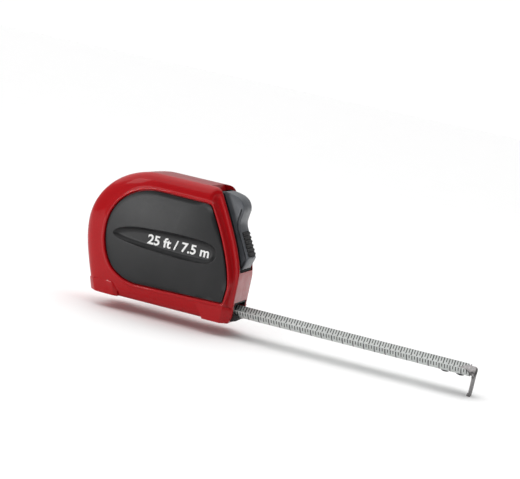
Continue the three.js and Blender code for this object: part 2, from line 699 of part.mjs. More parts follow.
add('end_hook', geometryOf(cut(
  join(plateBlank.intersect(plateStamp), tang, biteEdge),
  ...RIVET_X.map((x) => rivetHole(x, HOOK_PLAY, RIVET_R + 0.1)),
)), bareSteel);

// Rivets: domed head under the blade, shank, and a flat washer head over the hook.
const rivetProfile = [
  [0, BLADE_Z - 0.9], [1.3, BLADE_Z - 0.8], [2.3, BLADE_Z - 0.35], [2.5, BLADE_Z - 0.12],
  [RIVET_R, BLADE_Z - 0.12], [RIVET_R, 4.85], [2.5, 4.95], [2.3, 5.35], [1.2, 5.75], [0, 5.85],
].map(([r, z]) => v2(r, z));
RIVET_X.forEach((x, i) => {
  const rivet = facingOut(mergeVertices(bare(new THREE.LatheGeometry(rivetProfile, 24))));
  add(`hook_rivet_${i + 1}`, rivet.rotateX(Math.PI / 2).translate(x, 0, 0), bareSteel);
});

// ---- Brake -------------------------------------------------------------------------------

const BRAKE_HALF = 6.8;
add('brake_lever', prismY([
  v2(13, 6.8), v2(22.5, 6.8), v2(22.5, 10.2), v2(24.4, 11.4), v2(24.4, 25.4), v2(16.1, 25.4),
  v2(16.1, 11.8), v2(14.5, 10), v2(13, 10),
], -BRAKE_HALF, BRAKE_HALF), blackPlastic);

const padR = BLADE_R - BLADE_THICK / 2 - GAP;
const padSection = (x) => [
  ...Array.from({ length: 9 }, (_, i) => {
    const angle = (i / 8 - 0.5) * 0.9;
    return new THREE.Vector3(x, padR * Math.sin(angle), BLADE_AXIS_Z - padR * Math.cos(angle));
  }),
  new THREE.Vector3(x, padR * Math.sin(0.45), 6.5),
  new THREE.Vector3(x, -padR * Math.sin(0.45), 6.5),
];
add('brake_pad', loft([padSection(13.3), padSection(22.2)], toYZ), rubberBlack);

// ---- Case screws -------------------------------------------------------------------------

function screw(name, x, z, seat, end) {
  const profile = [
    [0, seat + SCREW_HEAD], [2.1, seat + SCREW_HEAD - 0.1], [SCREW_HEAD_R, seat + 1.1],
    [SCREW_HEAD_R, seat + 0.1], [SCREW_R, seat + 0.1], [SCREW_R, end + 1], [0.5, end], [0, end],
  ].map(([r, y]) => v2(r, y));
  const body = solid(facingOut(mergeVertices(bare(new THREE.LatheGeometry(profile, 24)))));
  const top = seat + SCREW_HEAD;
  const drive = join(
    solid(box(-1.5, 1.5, top - 1, top + 1, -0.3, 0.3)),
    solid(box(-0.3, 0.3, top - 1, top + 1, -1.5, 1.5)),
  );
  add(name, geometryOf(cut(body, drive)).translate(x, 0, z), springSteel);
}
for (const { name, x, z, seat } of SCREWS) screw(name, x, z, seat, SCREW_END);

// ---- Belt clip ---------------------------------------------------------------------------

const CLIP_HALF = 8;
const CLIP_THICK = 1;
const CLIP_BASE = CLIP_LAND + 0.1;
const CLIP_ARM = 28; // middle of the arm's thickness

// The strip's centre line in Y and Z: up the case, over a bend and down to a flared end.
const clipLine = new THREE.Path();
clipLine.moveTo(CLIP_BASE + CLIP_THICK / 2, 48);
clipLine.lineTo(CLIP_BASE + CLIP_THICK / 2, 66);
clipLine.bezierCurveTo(CLIP_BASE + CLIP_THICK / 2, 71, CLIP_ARM, 71.5, CLIP_ARM, 66);
clipLine.lineTo(CLIP_ARM, 24);
clipLine.quadraticCurveTo(CLIP_ARM, 18, CLIP_ARM + 3, 14.5);
const clipPoints = clipLine.getPoints(7);
const clipSide = (way) => clipPoints.map((at, i) => {
  const before = clipPoints[Math.max(i - 1, 0)];
  const after = clipPoints[Math.min(i + 1, clipPoints.length - 1)];
  const along = after.clone().sub(before).normalize();
  return v2(at.x - along.y * way * CLIP_THICK / 2, at.y + along.x * way * CLIP_THICK / 2);
});
const clipShape = new THREE.Shape([...clipSide(1), ...clipSide(-1).reverse()]);
const clipStrip = solid(new THREE.ExtrudeGeometry(clipShape, {
  depth: 2 * CLIP_HALF, bevelEnabled: false,
}).rotateX(Math.PI / 2).rotateZ(Math.PI / 2).translate(CLIP_SCREW.x - CLIP_HALF, 0, 0));
const clipHoles = join(
  solid(drumY(CLIP_SCREW.x, CLIP_SCREW.z, 1.6, 18, 25, 20)),
  solid(drumY(CLIP_SCREW.x, CLIP_SCREW.z, 3.2, 25, 40, 24)), // driver access
);
add('belt_clip', geometryOf(cut(clipStrip, clipHoles)), bareSteel);
screw('clip_screw', CLIP_SCREW.x, CLIP_SCREW.z, CLIP_BASE + CLIP_THICK, CLIP_SCREW.deep + GAP);

export default part;
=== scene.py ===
"""Looks of the pocket tape measure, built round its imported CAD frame.

Lengths in this script are millimetres until a mesh is made, and every position is in the
frame's axes: +X along the blade to the hook, +Z up, -Y the near side.
"""

import math

import bmesh
import bpy
from mathutils import Matrix, Vector


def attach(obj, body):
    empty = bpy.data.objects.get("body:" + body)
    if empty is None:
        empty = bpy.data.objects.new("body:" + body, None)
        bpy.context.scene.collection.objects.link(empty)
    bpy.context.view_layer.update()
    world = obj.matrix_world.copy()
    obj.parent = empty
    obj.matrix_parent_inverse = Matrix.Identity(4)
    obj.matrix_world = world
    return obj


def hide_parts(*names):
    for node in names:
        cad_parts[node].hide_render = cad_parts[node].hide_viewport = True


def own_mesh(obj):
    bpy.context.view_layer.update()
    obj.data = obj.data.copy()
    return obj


MM = 0.001
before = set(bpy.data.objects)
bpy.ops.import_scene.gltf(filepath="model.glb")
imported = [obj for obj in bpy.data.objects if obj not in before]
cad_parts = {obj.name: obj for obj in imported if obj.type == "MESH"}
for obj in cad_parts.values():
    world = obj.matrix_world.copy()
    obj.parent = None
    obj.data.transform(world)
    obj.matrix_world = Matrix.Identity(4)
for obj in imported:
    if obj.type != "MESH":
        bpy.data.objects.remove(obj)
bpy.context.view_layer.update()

# ---- Sizes shared with the frame -----------------------------------------------------------

REEL_X, REEL_Z = -14.3, 38.5
CASE_TOP = 76
REAR_X = -52
FRONT_X = 44.8
HALF_RIDGE = 21
PARTING = 0.1
PANEL_SEAT = 18.8
PANEL_EDGE = 20.3
PANEL_CROWN = 1.7
PANEL_CENTRE = (0, 38.5)
RECESS_FLOOR = 19.3
SCOOP_RUN = 3.2  # way in from the recess's edge over which its wall runs down
FOOT_HALF = 20.2
CAVITY_R = 35.3
CAVITY_HALF = 15
SPINDLE_BORE_R = 4.3
SPINDLE_BORE_HALF = 17.2
BEYOND = 100  # clear of the whole case
PAST_NOSE = 60
PAST_SIDE = 40

BLADE_WIDTH = 25
BLADE_THICK = 0.25
BLADE_R = 14.74
BLADE_Z = 3
BLADE_AXIS_Z = BLADE_Z + BLADE_R + BLADE_THICK / 2
BLADE_END = 184.8
TIP_START = 164.3
LEAD_Z = 7.05  # underside of the flat blade where it leaves the coil
CURL_END_X = 18  # where the blade has taken its full curve

HOOK_INNER = 186.6
HOOK_THICK = 1.2
HOOK_PLATE = 1.0
HOOK_BOTTOM = -8
RIVETS_X = (170.4, 179.4)
HOOK_PLAY = 0.8
PLATE_R = BLADE_R - BLADE_THICK / 2 - 0.3

LOCK_FOOT = (43.6, 31)
LOCK_TILT = math.radians(24.8)
LOCK_HALF = 8.7
TRACK_HALF = 13.7
TRACK_FLOOR = -3.5

MOUTH_TOP = 12.2
MOUTH_HALF = 12.8
CHANNEL_FLOOR = 2.3
BUMPER_BACK = 37
BUMPER_FLOOR = 1.1
BUMPER_NOSE = 47.6
RIVET_WAY = 3.2  # half width of the groove that the rivet heads pass along

CASE_SCREWS = {
    "case_screw_heel": (-36.5, 6.2, 16.6),
    "case_screw_nose": (33, 17.2, 13.4),
    "case_screw_top": (14.6, 71.3, 15.4),
}
CLIP_SCREW = (-14.3, 57)
CLIP_LAND = 21.2
CLIP_HALF = 8
SCREW_R = 1.25
SCREW_HEAD_R = 2.7
SCREW_HEAD = 1.8
SCREW_END = -9
PILOT_R = 1.35
SHANK_HOLE_R = 1.55
HEAD_WELL_R = 3.0

# ---- Curves --------------------------------------------------------------------------------


def lerp(a, b, t):
    return a + (b - a) * t


def smooth(t):
    t = min(max(t, 0), 1)
    return t * t * (3 - 2 * t)


def mix(p, q, t):
    return tuple(lerp(a, b, t) for a, b in zip(p, q))


def line(p, q):
    return lambda t: mix(p, q, t)


def bend(p, q, r):
    return lambda t: mix(mix(p, q, t), mix(q, r, t), t)


def bezier(p, q, r, s):
    return lambda t: mix(bend(p, q, r)(t), bend(q, r, s)(t), t)


def trace(curves, steps):
    """Points along a chain of curves, leaving out each curve's end."""
    return [curve(i / steps) for curve in curves for i in range(steps)]


def rising(knots):
    """A smooth function through rising knots, without overshoot."""
    slopes = [
        (b[1] - a[1]) / (b[0] - a[0]) for a, b in zip(knots, knots[1:])
    ]
    inner = [
        0 if a * b <= 0 else 2 * a * b / (a + b) for a, b in zip(slopes, slopes[1:])
    ]
    tangents = [slopes[0], *inner, slopes[-1]]

    def value(x):
        i = max(k for k in range(len(knots) - 1) if k == 0 or knots[k][0] <= x)
        (x0, y0), (x1, y1) = knots[i], knots[i + 1]
        t = (x - x0) / (x1 - x0)
        rise = (y1 - y0) * t * t * (3 - 2 * t)
        ease = tangents[i] * t * (1 - t) ** 2 - tangents[i + 1] * t * t * (1 - t)
        return y0 + rise + ease * (x1 - x0)

    return value


def on_track(up, out):
    """A point up the lock's tilted track and out from it, in X and Z."""
    s, c = math.sin(LOCK_TILT), math.cos(LOCK_TILT)
    return (LOCK_FOOT[0] - s * up + c * out, LOCK_FOOT[1] + c * up + s * out)


# ---- Mesh helpers --------------------------------------------------------------------------


def new_object(name, verts, faces):
    mesh = bpy.data.meshes.new(name)
    mesh.from_pydata([Vector(v) * MM for v in verts], [], faces)
    edit = bmesh.new()
    edit.from_mesh(mesh)
    bmesh.ops.recalc_face_normals(edit, faces=edit.faces)
    edit.to_mesh(mesh)
    edit.free()
    obj = bpy.data.objects.new(name, mesh)
    bpy.context.scene.collection.objects.link(obj)
    return obj


def apply(obj):
    """Replaces the object's mesh with what its modifiers make of it."""
    depsgraph = bpy.context.evaluated_depsgraph_get()
    mesh = bpy.data.meshes.new_from_object(obj.evaluated_get(depsgraph))
    obj.modifiers.clear()
    obj.data = mesh
    return obj


def combine(obj, tools, operation):
    for tool in tools:
        modifier = obj.modifiers.new("combine", "BOOLEAN")
        modifier.operation = operation
        modifier.solver = "EXACT"
        modifier.object = tool
    apply(obj)
    for tool in tools:
        bpy.data.objects.remove(tool)
    return obj


def cut(obj, *tools):
    return combine(obj, tools, "DIFFERENCE")


def join(obj, *others):
    return combine(obj, others, "UNION")


def rounded(obj, width, segments=3, angle=35):
    modifier = obj.modifiers.new("round", "BEVEL")
    modifier.width = width * MM
    modifier.segments = segments
    modifier.limit_method = "ANGLE"
    modifier.angle_limit = math.radians(angle)
    modifier.use_clamp_overlap = True
    return apply(obj)


def loft(name, rings, closed_ends=True):
    """A skin through rings of equal point counts."""
    count = len(rings[0])
    faces = []
    for ring in range(len(rings) - 1):
        for i in range(count):
            a, b = ring * count + i, ring * count + (i + 1) % count
            faces.append((a, b, b + count, a + count))
    if closed_ends:
        faces.append(tuple(reversed(range(count))))
        faces.append(tuple(range((len(rings) - 1) * count, len(rings) * count)))
    return new_object(name, [v for ring in rings for v in ring], faces)


def prism(outline, y0, y1, name="prism"):
    """An outline in X and Z, swept between two Y planes."""
    return loft(name, [[(x, y, z) for x, z in outline] for y in (y0, y1)])


def box(x0, x1, y0, y1, z0, z1):
    return prism([(x0, z0), (x1, z0), (x1, z1), (x0, z1)], y0, y1, "box")


def track_block(up0, up1, out0, out1, half):
    corners = [(up0, out0), (up0, out1), (up1, out1), (up1, out0)]
    return prism([on_track(*corner) for corner in corners], -half, half)


def circle(radius, segments):
    turns = [2 * math.pi * i / segments for i in range(segments)]
    return [(radius * math.cos(a), radius * math.sin(a)) for a in turns]


def drum(x, z, radius, y0, y1, segments=48):
    """A cylinder along Y."""
    return prism([(x + a, z + b) for a, b in circle(radius, segments)], y0, y1, "drum")


def turned(name, profile, place, segments=48):
    """A solid turned from [radius, height] points that start and end on the axis."""
    verts = [place(0, 0, profile[0][1]), place(0, 0, profile[-1][1])]
    rings = profile[1:-1]
    for radius, height in rings:
        verts += [place(a, b, height) for a, b in circle(radius, segments)]
    faces = []
    for i in range(segments):
        j = (i + 1) % segments
        faces.append((0, 2 + j, 2 + i))
        last = 2 + (len(rings) - 1) * segments
        faces.append((1, last + i, last + j))
        for ring in range(len(rings) - 1):
            a = 2 + ring * segments
            faces.append((a + i, a + j, a + segments + j, a + segments + i))
    return new_object(name, verts, faces)


def hull(points):
    obj = new_object("hull", points, [])
    edit = bmesh.new()
    edit.from_mesh(obj.data)
    bmesh.ops.convex_hull(edit, input=edit.verts)
    loose = [v for v in edit.verts if not v.link_faces]
    bmesh.ops.delete(edit, geom=loose, context="VERTS")
    flat = math.radians(1)
    bmesh.ops.dissolve_limit(edit, angle_limit=flat, verts=edit.verts, edges=edit.edges)
    edit.to_mesh(obj.data)
    edit.free()
    return obj


def mirror(obj, name):
    """A copy of the object on the other side of the middle plane."""
    verts = [(v.co.x / MM, -v.co.y / MM, v.co.z / MM) for v in obj.data.vertices]
    faces = [tuple(reversed(p.vertices)) for p in obj.data.polygons]
    return new_object(name, verts, faces)


def finish_piece(obj, name, body, material, replaced=(), sharp=32):
    """Names, shades and places a finished piece."""
    obj.name = name
    obj.data.name = name
    for polygon in obj.data.polygons:
        polygon.use_smooth = True
    obj.data.set_sharp_from_angle(angle=math.radians(sharp))
    obj.data.materials.clear()
    obj.data.materials.append(material)
    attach(obj, body)
    if replaced:
        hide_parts(*replaced)
    return obj


# ---- Materials -----------------------------------------------------------------------------


class Surface:
    """A procedural material, built up from noise in object coordinates."""

    def __init__(self, name, colour, roughness, metallic=0.0):
        self.material = bpy.data.materials.new(name)
        self.material.use_nodes = True
        self.tree = self.material.node_tree
        self.shader = self.tree.nodes["Principled BSDF"]
        self.colour = colour
        self.shader.inputs["Base Color"].default_value = (*colour, 1)
        self.shader.inputs["Roughness"].default_value = roughness
        self.shader.inputs["Metallic"].default_value = metallic
        self.coordinates = self.tree.nodes.new("ShaderNodeTexCoord")

    def set(self, socket, value):
        self.shader.inputs[socket].default_value = value
        return self

    def noise(self, size, detail=3.0, stretch=(1, 1, 1)):
        """Noise whose features are about `size` millimetres across."""
        mapping = self.tree.nodes.new("ShaderNodeMapping")
        mapping.inputs["Scale"].default_value = [1 / (size * MM * s) for s in stretch]
        noise = self.tree.nodes.new("ShaderNodeTexNoise")
        noise.inputs["Scale"].default_value = 1.0
        noise.inputs["Detail"].default_value = detail
        self.tree.links.new(self.coordinates.outputs["Object"], mapping.inputs["Vector"])
        self.tree.links.new(mapping.outputs["Vector"], noise.inputs["Vector"])
        return noise.outputs["Fac"]

    def grains(self, size):
        """Cells about `size` millimetres across, each of its own value."""
        mapping = self.tree.nodes.new("ShaderNodeMapping")
        mapping.inputs["Scale"].default_value = [1 / (size * MM)] * 3
        cells = self.tree.nodes.new("ShaderNodeTexVoronoi")
        cells.inputs["Scale"].default_value = 1.0
        self.tree.links.new(self.coordinates.outputs["Object"], mapping.inputs["Vector"])
        self.tree.links.new(mapping.outputs["Vector"], cells.inputs["Vector"])
        return cells.outputs["Color"]

    def ramp(self, source, stops):
        ramp = self.tree.nodes.new("ShaderNodeValToRGB")
        elements = ramp.color_ramp.elements
        for i, (position, colour) in enumerate(stops):
            element = elements[i] if i < 2 else elements.new(position)
            element.position = position
            element.color = (*colour, 1)
        self.tree.links.new(source, ramp.inputs["Fac"])
        return ramp.outputs["Color"]

    def vary_colour(self, source, dark, light, low=0.35, high=0.65):
        stops = [(low, [c * dark for c in self.colour]), (high, [c * light for c in self.colour])]
        self.tree.links.new(self.ramp(source, stops), self.shader.inputs["Base Color"])
        return self

    def vary_roughness(self, source, low, high):
        spread = self.tree.nodes.new("ShaderNodeMapRange")
        spread.inputs["From Min"].default_value = 0.3
        spread.inputs["From Max"].default_value = 0.7
        spread.inputs["To Min"].default_value = low
        spread.inputs["To Max"].default_value = high
        self.tree.links.new(source, spread.inputs["Value"])
        self.tree.links.new(spread.outputs["Result"], self.shader.inputs["Roughness"])
        return self

    def bump(self, source, height, strength=1.0):
        """Relief `height` millimetres deep. Calls add up."""
        bump = self.tree.nodes.new("ShaderNodeBump")
        bump.inputs["Strength"].default_value = strength
        bump.inputs["Distance"].default_value = height * MM
        self.tree.links.new(source, bump.inputs["Height"])
        before = self.shader.inputs["Normal"].links
        if before:
            self.tree.links.new(before[0].from_socket, bump.inputs["Normal"])
        self.tree.links.new(bump.outputs["Normal"], self.shader.inputs["Normal"])
        return self


def red_lacquer():
    s = Surface("red_lacquer", (0.37, 0.003, 0.006), 0.4, 0.06)
    s.vary_colour(s.grains(0.12), 0.82, 1.2, 0.1, 0.9)
    s.vary_roughness(s.noise(9), 0.3, 0.42)
    s.bump(s.noise(1.6, 1), 0.004).bump(s.grains(0.12), 0.0012)
    s.set("Specular IOR Level", 0.08)
    s.set("Coat Weight", 0.5).set("Coat Roughness", 0.05).set("Coat IOR", 1.4)
    return s.material


def charcoal_panel():
    s = Surface("charcoal_soft_touch", (0.011, 0.0112, 0.012), 0.38)
    s.vary_colour(s.noise(14), 0.9, 1.15)
    s.vary_roughness(s.noise(0.8), 0.35, 0.41)
    s.set("Specular IOR Level", 0.3)
    s.bump(s.noise(0.22, 2), 0.006)
    return s.material


def lock_plastic():
    s = Surface("lock_grey_plastic", (0.08, 0.087, 0.098), 0.4)
    s.vary_colour(s.noise(6), 0.88, 1.15)
    s.vary_roughness(s.noise(2), 0.34, 0.46)
    s.bump(s.noise(0.3, 2), 0.004)
    return s.material


def black_plastic():
    s = Surface("black_plastic", (0.003, 0.003, 0.0035), 0.42).set("Specular IOR Level", 0.08)
    s.vary_colour(s.noise(5), 0.8, 1.3)
    s.vary_roughness(s.noise(2), 0.36, 0.5)
    s.bump(s.noise(0.3, 2), 0.004)
    return s.material


def black_rubber():
    s = Surface("black_rubber", (0.012, 0.012, 0.0125), 0.75)
    s.vary_colour(s.noise(3), 0.75, 1.35)
    s.vary_roughness(s.noise(1), 0.68, 0.85)
    s.bump(s.noise(0.25, 3), 0.012)
    return s.material


def blade_lacquer():
    s = Surface("blade_lacquer", (0.56, 0.58, 0.565), 0.45)
    s.vary_colour(s.noise(4, 4, (6, 1, 1)), 0.93, 1.05)
    s.vary_roughness(s.noise(1.5, 3, (5, 1, 1)), 0.4, 0.52)
    s.bump(s.noise(0.5, 2, (6, 1, 1)), 0.003)
    s.set("Coat Weight", 0.2).set("Coat Roughness", 0.2)
    return s.material


def printing_ink():
    s = Surface("scale_ink", (0.012, 0.012, 0.014), 0.5)
    s.vary_colour(s.noise(0.6), 0.7, 1.8)
    s.vary_roughness(s.noise(0.4), 0.34, 0.5)
    return s.material


def white_ink():
    s = Surface("white_ink", (0.86, 0.86, 0.85), 0.45)
    s.vary_colour(s.noise(2), 0.96, 1.02)
    s.bump(s.noise(0.2), 0.004)
    return s.material


def brushed_steel(name, colour, grain, edge=1.0):
    s = Surface(name, colour, 0.3, 0.95)
    s.vary_colour(s.noise(1.2, 4, grain), 0.7, 1.15)
    s.vary_roughness(s.noise(0.6, 4, grain), 0.25, 0.45)
    s.set("Specular Tint", (edge, edge, edge, 1))
    s.bump(s.noise(0.25, 3, grain), 0.004)
    return s.material


def spring_steel():
    s = Surface("spring_steel", (0.3, 0.32, 0.35), 0.36, 0.92)
    s.vary_colour(s.noise(2, 4), 0.78, 1.15)
    s.vary_roughness(s.noise(0.8, 3), 0.26, 0.44)
    s.bump(s.noise(0.3, 2), 0.003)
    return s.material


def natural_acetal():
    s = Surface("natural_acetal", (0.66, 0.64, 0.57), 0.48)
    s.vary_colour(s.noise(7), 0.94, 1.03)
    s.bump(s.noise(0.4, 2), 0.004)
    s.set("Subsurface Weight", 0.1).set("Subsurface Radius", (0.002, 0.0018, 0.0014))
    return s.material


RED = red_lacquer()
CHARCOAL = charcoal_panel()
LOCK_GREY = lock_plastic()
BLACK = black_plastic()
RUBBER = black_rubber()
BLADE = blade_lacquer()
INK = printing_ink()
WHITE = white_ink()
HOOK_STEEL = brushed_steel("hook_steel", (0.27, 0.26, 0.26), (1, 1, 7), 0.4)
# The rivets' steel is darkened to near black: painted shade for the shadow under the blade, not
# the metal's own colour.
RIVET_PAINTED_SHADE_STEEL = brushed_steel("rivet_steel_painted_shade", (0.1, 0.1, 0.105), (1, 1, 1), 0.3)
CLIP_STEEL = brushed_steel("clip_steel", (0.5, 0.5, 0.51), (1, 1, 8))
SPRING = spring_steel()
ACETAL = natural_acetal()

# ---- Case ----------------------------------------------------------------------------------

# The case edge and the ridge round the panel in matching stretches: steps, edge, ridge, and
# how far the side between them is hollowed at the stretch's two ends.
STRETCHES = [
    (40, bezier((-41.5, 0), (-46.9, 16), (REAR_X, 28), (REAR_X, 41)),
     bezier((-31.1, 15.4), (-36.5, 20.5), (-40.2, 30), (-40.2, 40)), (0, 0)),
    (52, bezier((REAR_X, 41), (REAR_X, 60), (-35, CASE_TOP), (-14, CASE_TOP)),
     bezier((-40.2, 40), (-40.2, 55), (-28.5, 67.6), (-10, 67.6)), (0, 0)),
    (20, line((-14, CASE_TOP), (19.5, CASE_TOP)), line((-10, 67.6), (18.3, 67.3)), (0, 0)),
    (14, bend((19.5, CASE_TOP), (23, CASE_TOP), (24.4, 73.5)),
     bend((18.3, 67.3), (21.6, 67.1), (22.8, 65.2)), (0, 1)),
    (44, bezier((24.4, 73.5), (33.4, 57.6), (44.6, 37), (FRONT_X, 26)),
     bezier((22.8, 65.2), (30.5, 52.9), (40.5, 33), (41.2, 20)), (1, 1)),
    (12, line((FRONT_X, 26), (FRONT_X, 4.5)), line((41.2, 20), (40.6, 12.5)), (1, 1)),
    (8, line((FRONT_X, 4.5), (43.3, 0)), bend((40.6, 12.5), (40.2, 10.3), (38.2, 10.1)), (1, 0)),
    (24, line((43.3, 0), (-18, 0)), line((38.2, 10.1), (-14, 8.8)), (0, 0)),
    (20, line((-18, 0), (-41.5, 0)),
     bezier((-14, 8.8), (-20.5, 8.9), (-26.5, 11.3), (-31.1, 15.4)), (0, 0)),
]


def side_profile(halves):
    """Half width of the side against the square root of the way in from the edge."""
    inward = (0, 0.05, 0.14, 0.35, 0.68, 0.9, 1)
    return rising([(math.sqrt(i), half) for i, half in zip(inward, halves)])


round_side = side_profile((14.2, 15.6, 16.8, 18.4, 19.8, 20.35, 20.5))
hollow_side = side_profile((14.2, 15.4, 15.8, 15.85, 16.5, 19.0, 20.3))


def case_samples():
    for steps, edge, ridge, (hollow_from, hollow_to) in STRETCHES:
        for i in range(steps):
            t = i / steps
            yield edge(t), ridge(t), lerp(hollow_from, hollow_to, smooth(t))


SAMPLES = list(case_samples())
RIDGE = [ridge for _, ridge, _ in SAMPLES]
BEAD = 0.9  # width of the bead's outer side
SIDE_RINGS = 18


def side_ring(share):
    """The ring at a share of the way from the case edge to the foot of the bead."""
    ring = []
    for edge, ridge, hollow in SAMPLES:
        root = share * math.sqrt(1 - BEAD / math.dist(edge, ridge))
        half = lerp(round_side(root), hollow_side(root), hollow)
        x, z = mix(edge, ridge, root ** 2)
        ring.append((x, -half, z))
    return ring


def bead_ring(share):
    """The ring at a share of the way up the bead, which ends on the ridge."""
    ring = []
    for edge, ridge, hollow in SAMPLES:
        width = BEAD / math.dist(edge, ridge)
        root = math.sqrt(1 - width)
        foot = lerp(round_side(root), hollow_side(root), hollow)
        half = lerp(foot, HALF_RIDGE, math.sin(share * math.pi / 2) ** 1.3)
        x, z = mix(edge, ridge, 1 - width * (1 - share))
        ring.append((x, -half, z))
    return ring


def inset(outline, distance):
    """A closed clockwise outline moved inwards by a fixed distance."""
    moved = []
    for i, (x, z) in enumerate(outline):
        (ax, az), (bx, bz) = outline[i - 1], outline[(i + 1) % len(outline)]
        length = math.hypot(bx - ax, bz - az)
        moved.append((x + (bz - az) / length * distance, z - (bx - ax) / length * distance))
    return moved


def ridge_ring(distance, half):
    return [(x, -half, z) for x, z in inset(RIDGE, distance)]


def near_shell():
    rings = [[(edge[0], -PARTING, edge[1]) for edge, _, _ in SAMPLES]]
    rings += [side_ring(i / SIDE_RINGS) for i in range(SIDE_RINGS + 1)]
    rings += [bead_ring(share) for share in (0.25, 0.5, 0.75, 1)]
    rings += [
        ridge_ring(distance, half)
        for distance, half in (
            (0.25, HALF_RIDGE), (0.5, HALF_RIDGE - 0.04), (0.75, HALF_RIDGE - 0.17),
            (0.93, HALF_RIDGE - 0.4), (1.0, HALF_RIDGE - 0.8), (1.3, PANEL_SEAT),
        )
    ]
    return loft("shell", rings)


def front_foot():
    lower = [(22, 9.6), (29, 0), (39.8, 0), (39.8, 9.9)]
    return hull([(x, -FOOT_HALF, z) for x, z in lower] + [
        (45, -15.2, 4.2), (43.6, -15.2, 0), (45, -15.2, 9.2), (44.6, -10, 9.2),
        (45, -10, 4.2), (43.6, -10, 0), (29, -10, 0), (22, -10, 9.6),
    ])


def rear_foot():
    return hull([
        (-38.5, -18.6, 0), (-41.3, -18.3, 7.6), (-28.5, -FOOT_HALF, 8.6), (-27, -19.6, 0),
        (-42.4, -14.5, 0), (-45, -14.2, 7.4), (-42.4, -10, 0), (-44.2, -10, 7.4),
        (-24, -18.4, 0), (-25.5, -18.6, 6.5), (-27, -10, 8.6), (-24, -10, 0),
    ])


def case_hollows():
    return [
        drum(REEL_X, REEL_Z, CAVITY_R, -CAVITY_HALF, CAVITY_HALF, 120),
        drum(REEL_X, REEL_Z, SPINDLE_BORE_R, -SPINDLE_BORE_HALF, SPINDLE_BORE_HALF, 40),
        box(REEL_X, PAST_NOSE, -MOUTH_HALF, MOUTH_HALF, CHANNEL_FLOOR, MOUTH_TOP),
        box(24, PAST_NOSE, -RIVET_WAY, RIVET_WAY, 1.5, MOUTH_TOP),
        box(BUMPER_BACK - 0.3, PAST_NOSE, -MOUTH_HALF, MOUTH_HALF, 0.8, MOUTH_TOP),
        track_block(-1.2, 60, -5.3, 30, TRACK_HALF + 0.3),
        box(14.8, 24.8, -7.1, 7.1, 11, 30),  # room for the brake
        track_block(1.5, 16, -20.2, 0, 3.3),  # way of the slider's tongue
        box(-BEYOND, BEYOND, -PAST_SIDE, PAST_SIDE, -20, 0),  # below the base
    ]


def build_case():
    feet = [rounded(front_foot(), 0.3, 3, 20), rounded(rear_foot(), 0.9, 3, 12)]
    knife = box(-BEYOND, BEYOND, -PARTING, PAST_SIDE, -20, BEYOND)
    body = cut(join(near_shell(), *feet), knife, *case_hollows())
    far = mirror(body, "far")
    cut(body, *[drum(x, z, PILOT_R, -10, 0, 20) for x, z, _ in CASE_SCREWS.values()])
    wells = [drum(x, z, SHANK_HOLE_R, 0, PAST_SIDE, 24) for x, z, _ in CASE_SCREWS.values()]
    wells += [
        drum(x, z, HEAD_WELL_R, seat, PAST_SIDE, 36) for x, z, seat in CASE_SCREWS.values()
    ]
    cut(far, *wells, drum(*CLIP_SCREW, 1.4, 15.7, 30, 24))
    finish_piece(body, "case_shell_near", "case", RED, ["case_near_half"])
    finish_piece(far, "case_shell_far", "case", RED, ["case_far_half"])


# ---- Side panels ---------------------------------------------------------------------------

RECESS = trace([
    bezier((-33.8, 36.6), (-32.5, 41.2), (-22, 43.4), (-6, 44.1)),
    bezier((-6, 44.1), (6, 44.6), (18, 44.8), (24, 43.6)),
    bezier((24, 43.6), (31.5, 42), (31.5, 33), (24, 31.6)),
    bezier((24, 31.6), (14, 30.6), (0, 31.2), (-9.2, 31.9)),
    bezier((-9.2, 31.9), (-22, 32.6), (-32.5, 33.6), (-33.8, 36.6)),
], 24)


def reach(outline):
    """How far the outline is from the panel's centre, as a function of the angle."""
    cx, cz = PANEL_CENTRE
    polar = sorted(
        (math.atan2(z - cz, x - cx), math.dist((x, z), PANEL_CENTRE)) for x, z in outline
    )
    turn = 2 * math.pi
    polar = [(polar[-1][0] - turn, polar[-1][1])] + polar + [(polar[0][0] + turn, polar[0][1])]

    def value(angle):
        low, high = 0, len(polar) - 1
        while high - low > 1:
            middle = (low + high) // 2
            low, high = (middle, high) if polar[middle][0] <= angle else (low, middle)
        (a0, r0), (a1, r1) = polar[low], polar[high]
        return lerp(r0, r1, (angle - a0) / (a1 - a0)) if a1 > a0 else r0

    return value


def distance_inside(point, outline, inside):
    """Distance to an outline, negative outside it."""
    best = 1e9
    for (ax, az), (bx, bz) in zip(outline, outline[1:] + outline[:1]):
        dx, dz = bx - ax, bz - az
        length = dx * dx + dz * dz
        t = min(max(((point[0] - ax) * dx + (point[1] - az) * dz) / length, 0), 1) if length else 0
        best = min(best, math.hypot(point[0] - ax - dx * t, point[1] - az - dz * t))
    return best if inside else -best


def panel_angles(count, recess_reach, panel_reach):
    """Angles spaced evenly along the recess and the panel edge together."""
    fine = 2000
    steps = [-math.pi + 2 * math.pi * i / fine for i in range(fine + 1)]
    runs = [0]
    for a, b in zip(steps, steps[1:]):
        for_ring = [
            math.dist(
                (r(a) * math.cos(a), r(a) * math.sin(a)), (r(b) * math.cos(b), r(b) * math.sin(b))
            )
            for r in (recess_reach, panel_reach)
        ]
        runs.append(runs[-1] + 1.4 * for_ring[0] + for_ring[1])
    angles, k = [], 0
    for i in range(count):
        target = runs[-1] * i / count
        while runs[k + 1] < target:
            k += 1
        angles.append(lerp(steps[k], steps[k + 1], (target - runs[k]) / (runs[k + 1] - runs[k])))
    return angles


PANEL_INSET = 1.6  # from the ridge to the panel: the inner wall and a gap
PANEL_SPOKES = 280


